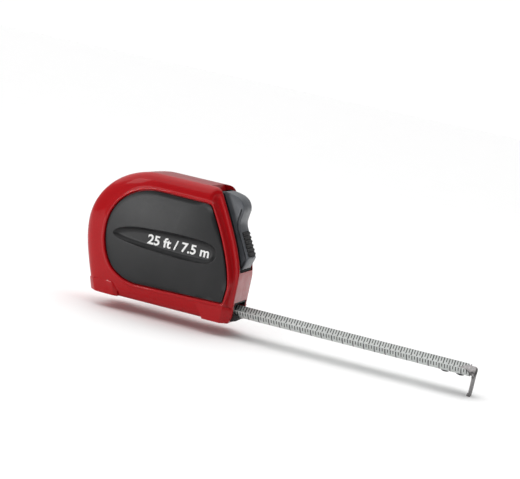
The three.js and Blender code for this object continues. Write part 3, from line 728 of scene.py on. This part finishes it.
def panel_blank(name, with_recess):
    outline_reach = reach(inset(RIDGE, PANEL_INSET))
    recess_reach = reach(RECESS)
    angles = panel_angles(PANEL_SPOKES, recess_reach, outline_reach)
    cx, cz = PANEL_CENTRE

    def crown(angle, radius):
        """The face's half width, eased over nearby angles so that corners leave no crease."""
        turns = [(angle + i / 30 + math.pi) % (2 * math.pi) - math.pi for i in range(-12, 13)]
        return PANEL_EDGE + PANEL_CROWN * (1 - (radius / mean_reach(turns)) ** 2)

    def mean_reach(turns):
        return sum(outline_reach(turn) for turn in turns) / len(turns)

    def point(angle, radius, half):
        return (cx + radius * math.cos(angle), -half, cz + radius * math.sin(angle))

    def face(angle, radius, inside):
        half = crown(angle, radius)
        if with_recess:
            at = (cx + radius * math.cos(angle), cz + radius * math.sin(angle))
            run = min(max((distance_inside(at, RECESS, inside) + 0.15) / SCOOP_RUN, 0), 1)
            half = lerp(half, min(half, RECESS_FLOOR), 1 - (1 - run) ** 2.4)
        return point(angle, radius, half)

    edge = [(0, PANEL_SEAT + 0.3), (0, 19.85), (0.05, 20.05), (0.18, 20.22)]
    rings = [
        [point(a, outline_reach(a) - back, half) for a in angles] for back, half in edge
    ]
    for i in range(17):
        share = (i / 16) ** 0.8
        ring = []
        for a in angles:
            radius = lerp(outline_reach(a) - 0.45, recess_reach(a) + 0.35, share)
            ring.append(face(a, radius, False))
        rings.append(ring)
    inner = [1.0, 0.98, 0.96, 0.93, 0.9, 0.86, 0.81, 0.75, 0.68, 0.6, 0.51, 0.41, 0.3, 0.19, 0.08]
    rings += [[face(a, recess_reach(a) * s, True) for a in angles] for s in inner]
    return loft(name, rings)


def build_panels():
    near = panel_blank("near", True)
    finish_piece(near, "panel_near", "case", CHARCOAL, ["side_panel_near"], 40)
    plain = panel_blank("far", False)
    far = mirror(plain, "far_panel")
    bpy.data.objects.remove(plain)
    land = rounded(box(-24.5, -4.1, CLIP_LAND, 40, 44, 80), 0.6, 3)
    cut(far, land, drum(*CLIP_SCREW, 1.9, 0, 40, 24))
    finish_piece(far, "panel_far", "case", CHARCOAL, ["side_panel_far"], 40)


def text_mesh(name, body, size, weight=0.0):
    """Flat lettering as a mesh in X and Y, centred, `size` millimetres tall in capitals."""
    curve = bpy.data.curves.new(name, "FONT")
    curve.body = body
    curve.size = size / 0.7 * MM
    curve.offset = weight * MM
    curve.align_x = "CENTER"
    curve.resolution_u = 6
    source = bpy.data.objects.new(name, curve)
    bpy.context.scene.collection.objects.link(source)
    depsgraph = bpy.context.evaluated_depsgraph_get()
    mesh = bpy.data.meshes.new_from_object(source.evaluated_get(depsgraph))
    bpy.data.objects.remove(source)
    obj = bpy.data.objects.new(name, mesh)
    bpy.context.scene.collection.objects.link(obj)
    return obj


def thicken(obj, thickness, offset=1.0):
    modifier = obj.modifiers.new("thickness", "SOLIDIFY")
    modifier.thickness = thickness * MM
    modifier.offset = offset
    return apply(obj)


MARK_SIZE, MARK_WEIGHT = 5.4, 0.17
MARK_X, MARK_Z = 6.6, 35.2
MARK_RISE = 0.45


def build_size_mark():
    """The blade's length, printed in white in the recess."""
    mark = text_mesh("mark", "25 ft / 7.5 m", MARK_SIZE, MARK_WEIGHT)
    for vertex in mark.data.vertices:
        x, z = vertex.co.x, vertex.co.y
        vertex.co = (x + MARK_X * MM, -(RECESS_FLOOR + MARK_RISE) * MM, z + MARK_Z * MM)
    thicken(mark, 0.5, -1.0)
    finish_piece(mark, "size_mark", "case", WHITE)


# ---- Lock ----------------------------------------------------------------------------------

SLIDER_BACK = TRACK_FLOOR + 0.3
RAMP_FOOT = (46.3, 38.6)
RAMP_HEAD = (37.9, 54.6)
POCKET_HALF = 7.3
PAD_HALF = 7.05
GROOVE_NEAR, GROOVE_FAR = 0.9, 1.9  # the cheek's groove, in from the front outline
GROOVE_DEPTH = 1.1


def slider_front():
    """The slider's front outline, from its foot up over the thumb ramp, saddle and hump."""
    return [
        (44.3, 31.9), RAMP_FOOT, *trace([line(RAMP_FOOT, RAMP_HEAD)], 1)[1:],
        *trace([bend(RAMP_HEAD, (36.7, 57.4), (37, 59.6))], 8),
        *trace([bend((37, 59.6), (37.2, 61.8), (37.7, 65))], 4),
        *trace([bend((37.7, 65), (37.4, 70.4), (32.2, 72.6))], 8),
        *trace([bend((32.2, 72.6), (28, 73.9), (24.6, 74))], 6), (24.6, 74),
    ]


def inset_path(path, distance):
    """An open path in X and Z, moved to its left by a fixed distance."""
    moved = []
    for i, (x, z) in enumerate(path):
        (ax, az), (bx, bz) = path[max(i - 1, 0)], path[min(i + 1, len(path) - 1)]
        length = math.hypot(bx - ax, bz - az)
        moved.append((x - (bz - az) / length * distance, z + (bx - ax) / length * distance))
    return moved


def on_ramp(up, out):
    length = math.dist(RAMP_FOOT, RAMP_HEAD)
    ux, uz = ((b - a) / length for a, b in zip(RAMP_FOOT, RAMP_HEAD))
    return (RAMP_FOOT[0] + ux * up + uz * out, RAMP_FOOT[1] + uz * up - ux * out)


def build_slider():
    profile = [on_track(0.5, SLIDER_BACK), *slider_front(), on_track(47.4, SLIDER_BACK)]
    slider = rounded(prism(profile, -LOCK_HALF, LOCK_HALF), 0.5, 3, 30)
    tongue = track_block(3.4, 8.4, -19.6, SLIDER_BACK + 1, 2.6)
    join(slider, tongue)
    pocket = prism([on_ramp(*c) for c in ((0.9, -1.2), (0.9, 5), (16.2, 5), (16.2, -1.2))],
                   -POCKET_HALF, POCKET_HALF)
    front = slider_front()[:16]
    grooves = []
    for side in (-1, 1):
        band = [*inset_path(front, GROOVE_NEAR), *reversed(inset_path(front, GROOVE_FAR))]
        walls = sorted((side * (LOCK_HALF - GROOVE_DEPTH), side * (LOCK_HALF + 1)))
        grooves.append(prism(band, *walls))
    cut(slider, pocket, *grooves)
    finish_piece(slider, "lock_button", "lock", LOCK_GREY, ["lock_slider"])

    ribs, start, end = 6, 1.15, 15.95
    pitch = (end - start) / ribs
    top = []
    for i in range(ribs):
        base = start + i * pitch
        top += [on_ramp(base + share * pitch, rise) for share, rise in
                ((0.1, 0.05), (0.3, 0.8), (0.72, 0.8), (0.9, 0.05))]
    outline = [on_ramp(end, -0.95), on_ramp(start, -0.95), *top]
    pad = rounded(prism(outline, -PAD_HALF, PAD_HALF), 0.14, 2, 25)
    finish_piece(pad, "thumb_grip", "lock", RUBBER, ["thumb_pad"])


def build_track():
    front = bezier((24.4, 73.5), (33.4, 57.6), (44.6, 37), (FRONT_X, 26))
    outline = [on_track(-0.8, -5), on_track(-0.8, 0.2)]
    for i in range(28):
        x, z = front(lerp(0.86, 0.02, i / 27))
        outline.append((x - 0.5, z - 0.2))
    outline += [on_track(48, -1.6), on_track(48, -5)]
    track = rounded(prism(outline, -TRACK_HALF, TRACK_HALF), 0.3, 3, 35)
    cut(track, track_block(0.1, 60, TRACK_FLOOR, 20, LOCK_HALF + 0.25),
        track_block(2.2, 14.8, -8, 0, 2.9), track_block(28.6, 43.4, -8, 0, 3.3))
    finish_piece(track, "lock_guide", "case", BLACK, ["lock_track"])


# ---- Mouth ---------------------------------------------------------------------------------


def rod_x(radius, x0, x1, z, segments=96):
    return loft("rod", [
        [(x, a, z + b) for a, b in circle(radius, segments)] for x in (x0, x1)
    ])


def build_mouth():
    bumper = rounded(prism([
        (BUMPER_BACK, BUMPER_FLOOR), (FRONT_X, BUMPER_FLOOR), (BUMPER_NOSE, 2.2),
        (BUMPER_NOSE, 5), (FRONT_X, 6.4), (BUMPER_BACK, 6.4),
    ], -12.4, 12.4), 0.35, 3)
    way = rod_x(BLADE_R + BLADE_THICK / 2 + 0.3, 25, 65, BLADE_AXIS_Z)
    cut(bumper, way, box(30, PAST_NOSE, -RIVET_WAY, RIVET_WAY, 1.8, 10))
    finish_piece(bumper, "bumper", "case", RUBBER, ["mouth_bumper"])
    guide = box(30, FRONT_X - 0.3, -12.5, 12.5, 8.7, MOUTH_TOP - 0.3)
    cut(guide, rounded(box(29, FRONT_X + 1, -11.6, 11.6, 0, 11), 1.2, 4))
    finish_piece(rounded(guide, 0.15, 2), "upper_guide", "case", BLACK,
                 ["mouth_guide"])


# ---- Blade ---------------------------------------------------------------------------------

ACROSS = 32


def blade_point(x, across, lift, curl=1.0):
    """A point on the blade `across` millimetres from its middle and `lift` above its underside."""
    bottom = lerp(BLADE_Z, LEAD_Z, (1 - curl) ** 2)
    if curl < 0.01:
        return (x, across, bottom + lift)
    radius = BLADE_R / curl
    r = radius + BLADE_THICK / 2 - lift
    centre = bottom + radius + BLADE_THICK / 2
    return (x, r * math.sin(across / radius), centre - r * math.cos(across / radius))


def blade_ring(x, curl=1.0, half=BLADE_WIDTH / 2):
    spread = [half * (2 * i / ACROSS - 1) for i in range(ACROSS + 1)]
    lower = [blade_point(x, a, 0, curl) for a in spread]
    upper = [blade_point(x, a, BLADE_THICK, curl) for a in reversed(spread)]
    return lower + upper


def wind_on(obj):
    """Gives a piece of the strip a mesh of its own."""
    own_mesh(obj)


def build_blade():
    rings = []
    for i in range(25):
        t = i / 24
        rings.append(blade_ring(lerp(REEL_X, CURL_END_X, t), smooth(t)))
    rings += [blade_ring(lerp(CURL_END_X, TIP_START - 0.02, (i + 1) / 12)) for i in range(12)]
    strip = finish_piece(loft("strip", rings), "blade_ribbon", "case", BLADE,
                         ["blade_strip"])
    wind_on(strip)
    tip = loft("tip", [
        blade_ring(TIP_START), blade_ring(BLADE_END - 2.9),
        blade_ring(BLADE_END - 0.2, half=9.8), blade_ring(BLADE_END, half=9.5),
    ])
    holes = [drum_z(x, 1.55) for x in RIVETS_X]
    cut(tip, *holes)
    finish_piece(tip, "blade_end", "tape_end", BLADE, ["blade_tip"])


def drum_z(x, radius, half=0.0):
    """An upright cutter at x, stretched into a slot by `half` each way."""
    ring = []
    for i in range(32):
        a = 2 * math.pi * (i + 0.5) / 32
        ring.append((x + radius * math.cos(a) + math.copysign(half, math.cos(a)),
                     radius * math.sin(a)))
    return loft("drum", [[(px, py, z) for px, py in ring] for z in (-5, 15)])


INCH = 25.4
INK_THICK = 0.02
INK_ROOT = 0.004  # how far the printing reaches into the blade
NUMERAL_SIZE, NUMERAL_WEIGHT = 5.0, 0.1
NUMERAL_STEP = 0.6  # spacing of the cuts that let a numeral follow the blade's curve
TICK_LENGTHS = {16: 3.2, 8: 4.4, 4: 8.5, 2: 8.5, 1: 12.2}  # by parts of an inch
TICK_WIDTHS = {16: 0.5, 8: 0.52, 4: 0.6, 2: 0.6, 1: 0.65}


def tick(x, width, across0, across1, outer_face):
    """A printed line across the blade as a thin closed solid, as verts and faces."""
    if outer_face:
        low, high = -INK_THICK, INK_ROOT
    else:
        low, high = BLADE_THICK - INK_ROOT, BLADE_THICK + INK_THICK
    steps = max(2, round(abs(across1 - across0) / 0.9))
    verts, faces = [], []
    for i in range(steps + 1):
        across = lerp(across0, across1, i / steps)
        verts += [blade_point(x + dx, across, lift) for dx, lift in
                  ((-width / 2, low), (width / 2, low), (width / 2, high), (-width / 2, high))]
    for i in range(steps):
        a = 4 * i
        for j in range(4):
            k = (j + 1) % 4
            faces.append((a + j, a + k, a + 4 + k, a + 4 + j))
    faces += [(3, 2, 1, 0), tuple(4 * steps + j for j in range(4))]
    return verts, faces


def graduations(x0, x1):
    """All the lines of the inch scale whose middle lies between two places."""
    verts, faces = [], []
    index = 1
    while True:
        x = HOOK_INNER - INCH * index / 16
        if x < x0:
            break
        if x < x1:
            part = next(p for p in (1, 2, 4, 8, 16) if index % (16 // p) == 0)
            length, width = TICK_LENGTHS[part], TICK_WIDTHS[part]
            for side in (-1, 1):
                for outer_face in (False, True):
                    edge = side * (BLADE_WIDTH / 2 - 0.15)
                    new_verts, new_faces = tick(x, width, edge, edge - side * length, outer_face)
                    first = len(verts)
                    verts += new_verts
                    faces += [tuple(first + i for i in face) for face in new_faces]
        index += 1
    return verts, faces


def inch_number(number):
    """An inch numeral printed on the hollow face, read with the hook to the left."""
    x = HOOK_INNER - INCH * number
    numeral = text_mesh("numeral", str(number), NUMERAL_SIZE, NUMERAL_WEIGHT)
    edit = bmesh.new()
    edit.from_mesh(numeral.data)
    for i in range(-8, 9):
        bmesh.ops.bisect_plane(edit, geom=[*edit.verts, *edit.edges, *edit.faces],
                               plane_co=(0, (2.5 + i * NUMERAL_STEP) * MM, 0),
                               plane_no=(0, 1, 0))
    for vertex in edit.verts:
        u, v = vertex.co.x / MM, vertex.co.y / MM
        vertex.co = Vector(blade_point(x + 4.0 - u, 2.5 - v, BLADE_THICK - INK_ROOT)) * MM
    edit.to_mesh(numeral.data)
    edit.free()
    return thicken(numeral, INK_THICK, 1.0)


def build_scale():
    strip = new_object("marks", *graduations(FRONT_X - 26, TIP_START))
    numerals = [inch_number(n) for n in range(1, 6)]
    together = [strip, *numerals]
    with bpy.context.temp_override(active_object=strip, selected_editable_objects=together):
        bpy.ops.object.join()
    finish_piece(strip, "blade_graduations", "case", INK)
    wind_on(strip)
    tip = new_object("marks", *graduations(TIP_START, BLADE_END - 0.6))
    finish_piece(tip, "blade_end_graduations", "tape_end", INK)


# ---- Hook ----------------------------------------------------------------------------------

HOOK_BEND = 1.0  # inner radius of the bend
BEND_HALF = 8.9  # half width of the hook over its bend
NOSE_HALF = 4.6  # half width of its plate over the rivets
NOSE_X = 168.2  # where the plate's rounded nose begins
TANG_KNOTS = [(HOOK_BOTTOM, 3.4), (-4.9, 6.2), (-4.2, 6.5), (2.8, 6.8), (5.4, BEND_HALF),
              (9, BEND_HALF)]


def plate_half(x):
    """Half width of the hook's plate, broad at the bend and narrow over the rivets."""
    nose = math.sqrt(max(0, 1 - ((NOSE_X - x) / 2.1) ** 2)) if x < NOSE_X else 1
    return lerp(NOSE_HALF, BEND_HALF, smooth((x - 174.2) / 8.2)) * max(nose, 0.25)


def tang_half(z):
    """Half width of the hook's tang at a height."""
    return rising(TANG_KNOTS)(z)


def hook_rows():
    """Rows of the hook's middle surface, from the plate's nose to the foot of the tang."""
    middle_r = PLATE_R - HOOK_PLATE / 2
    tang_x = HOOK_INNER + HOOK_THICK / 2
    spread = [2 * i / 24 - 1 for i in range(25)]
    rows = []
    bend_x = tang_x - HOOK_BEND - 0.5

    def plate_z(y):
        return BLADE_AXIS_Z - math.sqrt(middle_r ** 2 - y ** 2)

    for i in range(40):
        x = lerp(166.15, bend_x, (i / 39) ** 0.9)
        half = plate_half(x)
        rows.append([(x, u * half, plate_z(u * half)) for u in spread])
    radius = HOOK_BEND + 0.5
    for i in range(1, 7):
        a = math.pi / 2 * i / 6
        x, drop = bend_x + radius * math.sin(a), radius * (1 - math.cos(a))
        rows.append([(x, u * BEND_HALF, plate_z(u * BEND_HALF) - drop) for u in spread])
    tops = [plate_z(u * BEND_HALF) - radius for u in spread]
    for i in range(1, 25):
        row = []
        for u, top in zip(spread, tops):
            z = lerp(top, HOOK_BOTTOM, i / 24)
            row.append((tang_x, u * tang_half(z), z))
        rows.append(row)
    return rows


def build_hook():
    rows = hook_rows()
    width = len(rows[0])
    faces = []
    for r in range(len(rows) - 1):
        for i in range(width - 1):
            a = r * width + i
            faces.append((a, a + 1, a + width + 1, a + width))
    hook = new_object("hook", [v for row in rows for v in row], faces)
    thicken(hook, 1.1, 0)
    rounded(hook, 0.16, 3, 50)
    bite = rounded(box(HOOK_INNER - 1, HOOK_INNER + 0.5, -3.0, 3.0, HOOK_BOTTOM, -6.9), 0.2, 2)
    cut(hook, *[drum_z(x, 1.6, HOOK_PLAY) for x in RIVETS_X])
    join(hook, bite)
    finish_piece(hook, "hook", "hook", HOOK_STEEL, ["end_hook"], 40)
    for i, x in enumerate(RIVETS_X):
        build_rivet(f"rivet_{i + 1}", x, f"hook_rivet_{i + 1}")


def build_rivet(name, x, node):
    low, high = BLADE_Z - 0.12, 4.95
    profile = [(0, BLADE_Z - 0.9), (0.6, BLADE_Z - 0.88), (1.2, BLADE_Z - 0.8),
               (1.8, BLADE_Z - 0.62), (2.25, BLADE_Z - 0.4), (2.45, low - 0.1), (2.5, low),
               (1.5, low), (1.5, high - 0.05), (2.5, high), (2.48, high + 0.15),
               (2.3, high + 0.4), (1.8, high + 0.62), (1.2, high + 0.78), (0.6, high + 0.88),
               (0, high + 0.9)]
    rivet = turned(name, profile, lambda a, b, h: (x + a, b, h), 40)
    # The heads take the darkened steel, whose colour is painted shade.
    finish_piece(rivet, name, "tape_end", RIVET_PAINTED_SHADE_STEEL, [node])


# ---- Far side: screws and belt clip --------------------------------------------------------


def build_screw(name, x, z, seat, end, node):
    top = seat + SCREW_HEAD
    profile = [(0, top), (0.9, top - 0.02), (1.6, top - 0.06), (2.1, top - 0.16),
               (2.5, top - 0.4), (SCREW_HEAD_R, seat + 1.1), (SCREW_HEAD_R, seat + 0.25),
               (2.55, seat + 0.1), (SCREW_R, seat + 0.1), (SCREW_R, end + 1), (0.5, end),
               (0, end)]
    screw = turned(name, profile, lambda a, b, h: (x + a, h, z + b), 40)
    arms = [box(x - a, x + a, top - 1, top + 1, z - b, z + b) for a, b in ((1.5, 0.3), (0.3, 1.5))]
    cut(screw, *arms)  # the cross for the driver
    finish_piece(rounded(screw, 0.06, 2, 40), name, "case", SPRING, [node])


def build_clip():
    base, arm, thick = CLIP_LAND + 0.6, 28, 1.0
    path = trace([
        line((base, 48), (base, 66)), bezier((base, 66), (base, 71), (arm, 71.5), (arm, 66)),
        line((arm, 66), (arm, 24)), bend((arm, 24), (arm, 18), (arm + 3, 14.5)),
    ], 16) + [(arm + 3, 14.5)]
    sides = []
    for way in (1, -1):
        side = []
        for i, (y, z) in enumerate(path):
            (ay, az), (by, bz) = path[max(i - 1, 0)], path[min(i + 1, len(path) - 1)]
            length = math.hypot(by - ay, bz - az)
            side.append((y - (bz - az) / length * way * thick / 2,
                         z + (by - ay) / length * way * thick / 2))
        sides.append(side)
    outline = [*sides[0], *reversed(sides[1])]
    strip = loft("clip", [
        [(x, y, z) for y, z in outline]
        for x in (CLIP_SCREW[0] - CLIP_HALF, CLIP_SCREW[0] + CLIP_HALF)
    ])
    rounded(strip, 0.22, 3, 50)
    cut(strip, drum(*CLIP_SCREW, 1.6, 18, 25, 24), drum(*CLIP_SCREW, 3.2, 25, 40, 32))
    finish_piece(strip, "belt_hook", "case", CLIP_STEEL, ["belt_clip"])


def build_far_side():
    for name, (x, z, seat) in CASE_SCREWS.items():
        build_screw(name + "_head", x, z, seat, SCREW_END, name)
    build_screw("clip_screw_head", *CLIP_SCREW, CLIP_LAND + 1.1, 16, "clip_screw")
    build_clip()


# ---- Pieces kept from the frame ------------------------------------------------------------


def dress_frame_nodes():
    """Gives the hidden working parts, which keep their frame shapes, finished materials."""
    looks = {
        SPRING: ("power_spring", "detent_spring", "spindle"),
        ACETAL: ("reel_drum", "reel_cover", "thrust_washer_near", "thrust_washer_far"),
        BLADE: ("blade_coil",),
        BLACK: ("brake_lever",),
        RUBBER: ("brake_pad",),
    }
    for material, names in looks.items():
        for name in names:
            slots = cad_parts[name].material_slots
            for slot in slots:
                slot.material = material


# ---- Studio --------------------------------------------------------------------------------

VIEW_AZIMUTH, VIEW_ELEVATION, VIEW_ROLL = 13.69, 6.62, 12.09
VIEW_TARGET = Vector((0.0473, 0.0045, 0.0499))
VIEW_DISTANCE = 0.982
VIEW_LENS, VIEW_SENSOR = 116.03, 36


def view_axes():
    """The camera's right, up and backward directions."""
    a, e = math.radians(VIEW_AZIMUTH), math.radians(VIEW_ELEVATION)
    back = Vector((math.sin(a) * math.cos(e), -math.cos(a) * math.cos(e), math.sin(e)))
    level = Vector((math.cos(a), math.sin(a), 0))
    upright = back.cross(level)
    roll = math.radians(VIEW_ROLL)
    right = level * math.cos(roll) + upright * math.sin(roll)
    return right, back.cross(right), back


def build_camera():
    right, up, back = view_axes()
    data = bpy.data.cameras.new("camera")
    data.lens = VIEW_LENS
    data.sensor_width = VIEW_SENSOR
    data.clip_start, data.clip_end = 0.01, 50
    camera = bpy.data.objects.new("camera", data)
    bpy.context.scene.collection.objects.link(camera)
    camera.rotation_mode = "QUATERNION"
    turn = Matrix((right, up, back)).transposed()
    camera.rotation_quaternion = turn.to_quaternion()
    camera.location = VIEW_TARGET + back * VIEW_DISTANCE
    bpy.context.scene.camera = camera


def area_light(name, place, width, height, power):
    data = bpy.data.lights.new(name, "AREA")
    data.shape = "RECTANGLE"
    data.size, data.size_y = width, height
    data.energy = power
    light = bpy.data.objects.new(name, data)
    bpy.context.scene.collection.objects.link(light)
    light.location = place
    light.rotation_mode = "QUATERNION"
    toward = Vector(LIGHT_AIM) - Vector(place)
    light.rotation_quaternion = toward.to_track_quat("-Z", "Y")


SKY_BRIGHT_SIDE = (-0.5, 0.55, 0.65)
SKY_DIM, SKY_BRIGHT = 0.08, 0.4
BACKDROP = 1.05  # what the camera sees behind the floor
LIGHT_AIM = (0, 0, 0.04)
LIGHTS = {  # place, width, height and watts
    "key": ((-0.7, -0.75, 0.75), 0.35, 0.35, 1.1),
    "front": ((-0.42, -1.0, 0.1), 0.22, 0.18, 3.0),
    "rim": ((0.95, -0.28, 0.42), 0.14, 0.8, 0.3),
    "top": ((-0.1, 0.1, 0.9), 0.7, 0.4, 0.5),
}
SUN_STRENGTH, SUN_SPREAD = 2.3, 100
FLOOR_HALF = 6000
FLOOR_GLOW = 0.035  # brings the floor up to the backdrop, so that no horizon shows


def build_studio():
    scene = bpy.context.scene
    world = bpy.data.worlds.new("studio")
    scene.world = world
    world.use_nodes = True
    tree = world.node_tree
    background = tree.nodes["Background"]
    background.inputs["Color"].default_value = (1, 1, 1, 1)
    direction = tree.nodes.new("ShaderNodeTexCoord")
    facing = tree.nodes.new("ShaderNodeVectorMath")
    facing.operation = "DOT_PRODUCT"
    facing.inputs[1].default_value = Vector(SKY_BRIGHT_SIDE).normalized()
    sky = tree.nodes.new("ShaderNodeMapRange")
    sky.interpolation_type = "SMOOTHSTEP"
    sky.inputs["From Min"].default_value = -0.5
    sky.inputs["From Max"].default_value = 0.9
    sky.inputs["To Min"].default_value = SKY_DIM
    sky.inputs["To Max"].default_value = SKY_BRIGHT
    paths = tree.nodes.new("ShaderNodeLightPath")
    backdrop = tree.nodes.new("ShaderNodeMix")
    backdrop.inputs["B"].default_value = BACKDROP
    tree.links.new(direction.outputs["Generated"], facing.inputs[0])
    tree.links.new(facing.outputs["Value"], sky.inputs["Value"])
    tree.links.new(paths.outputs["Is Camera Ray"], backdrop.inputs["Factor"])
    tree.links.new(sky.outputs["Result"], backdrop.inputs["A"])
    tree.links.new(backdrop.outputs["Result"], background.inputs["Strength"])
    scene.view_settings.view_transform = "Standard"
    scene.view_settings.look = "None"

    for name, (place, width, height, power) in LIGHTS.items():
        area_light(name, place, width, height, power)

    sun = bpy.data.lights.new("overhead", "SUN")
    sun.energy = SUN_STRENGTH
    sun.angle = math.radians(SUN_SPREAD)
    overhead = bpy.data.objects.new("overhead", sun)
    scene.collection.objects.link(overhead)
    overhead.rotation_euler = (math.radians(-8), math.radians(-12), 0)

    corners = [(x * FLOOR_HALF, y * FLOOR_HALF, HOOK_BOTTOM - 0.05)
               for x, y in ((-1, -1), (1, -1), (1, 1), (-1, 1))]
    floor = new_object("floor", corners, [(0, 1, 2, 3)])
    s = Surface("pale_floor", (0.97, 0.97, 0.97), 0.85)
    s.vary_colour(s.noise(60), 0.985, 1.0)
    s.set("Emission Color", (1, 1, 1, 1)).set("Emission Strength", FLOOR_GLOW)
    floor.data.materials.append(s.material)


# ---- Build ---------------------------------------------------------------------------------

build_camera()
build_studio()
build_case()
build_panels()
build_size_mark()
build_slider()
build_track()
build_mouth()
build_blade()
build_scale()
build_hook()
build_far_side()
dress_frame_nodes()
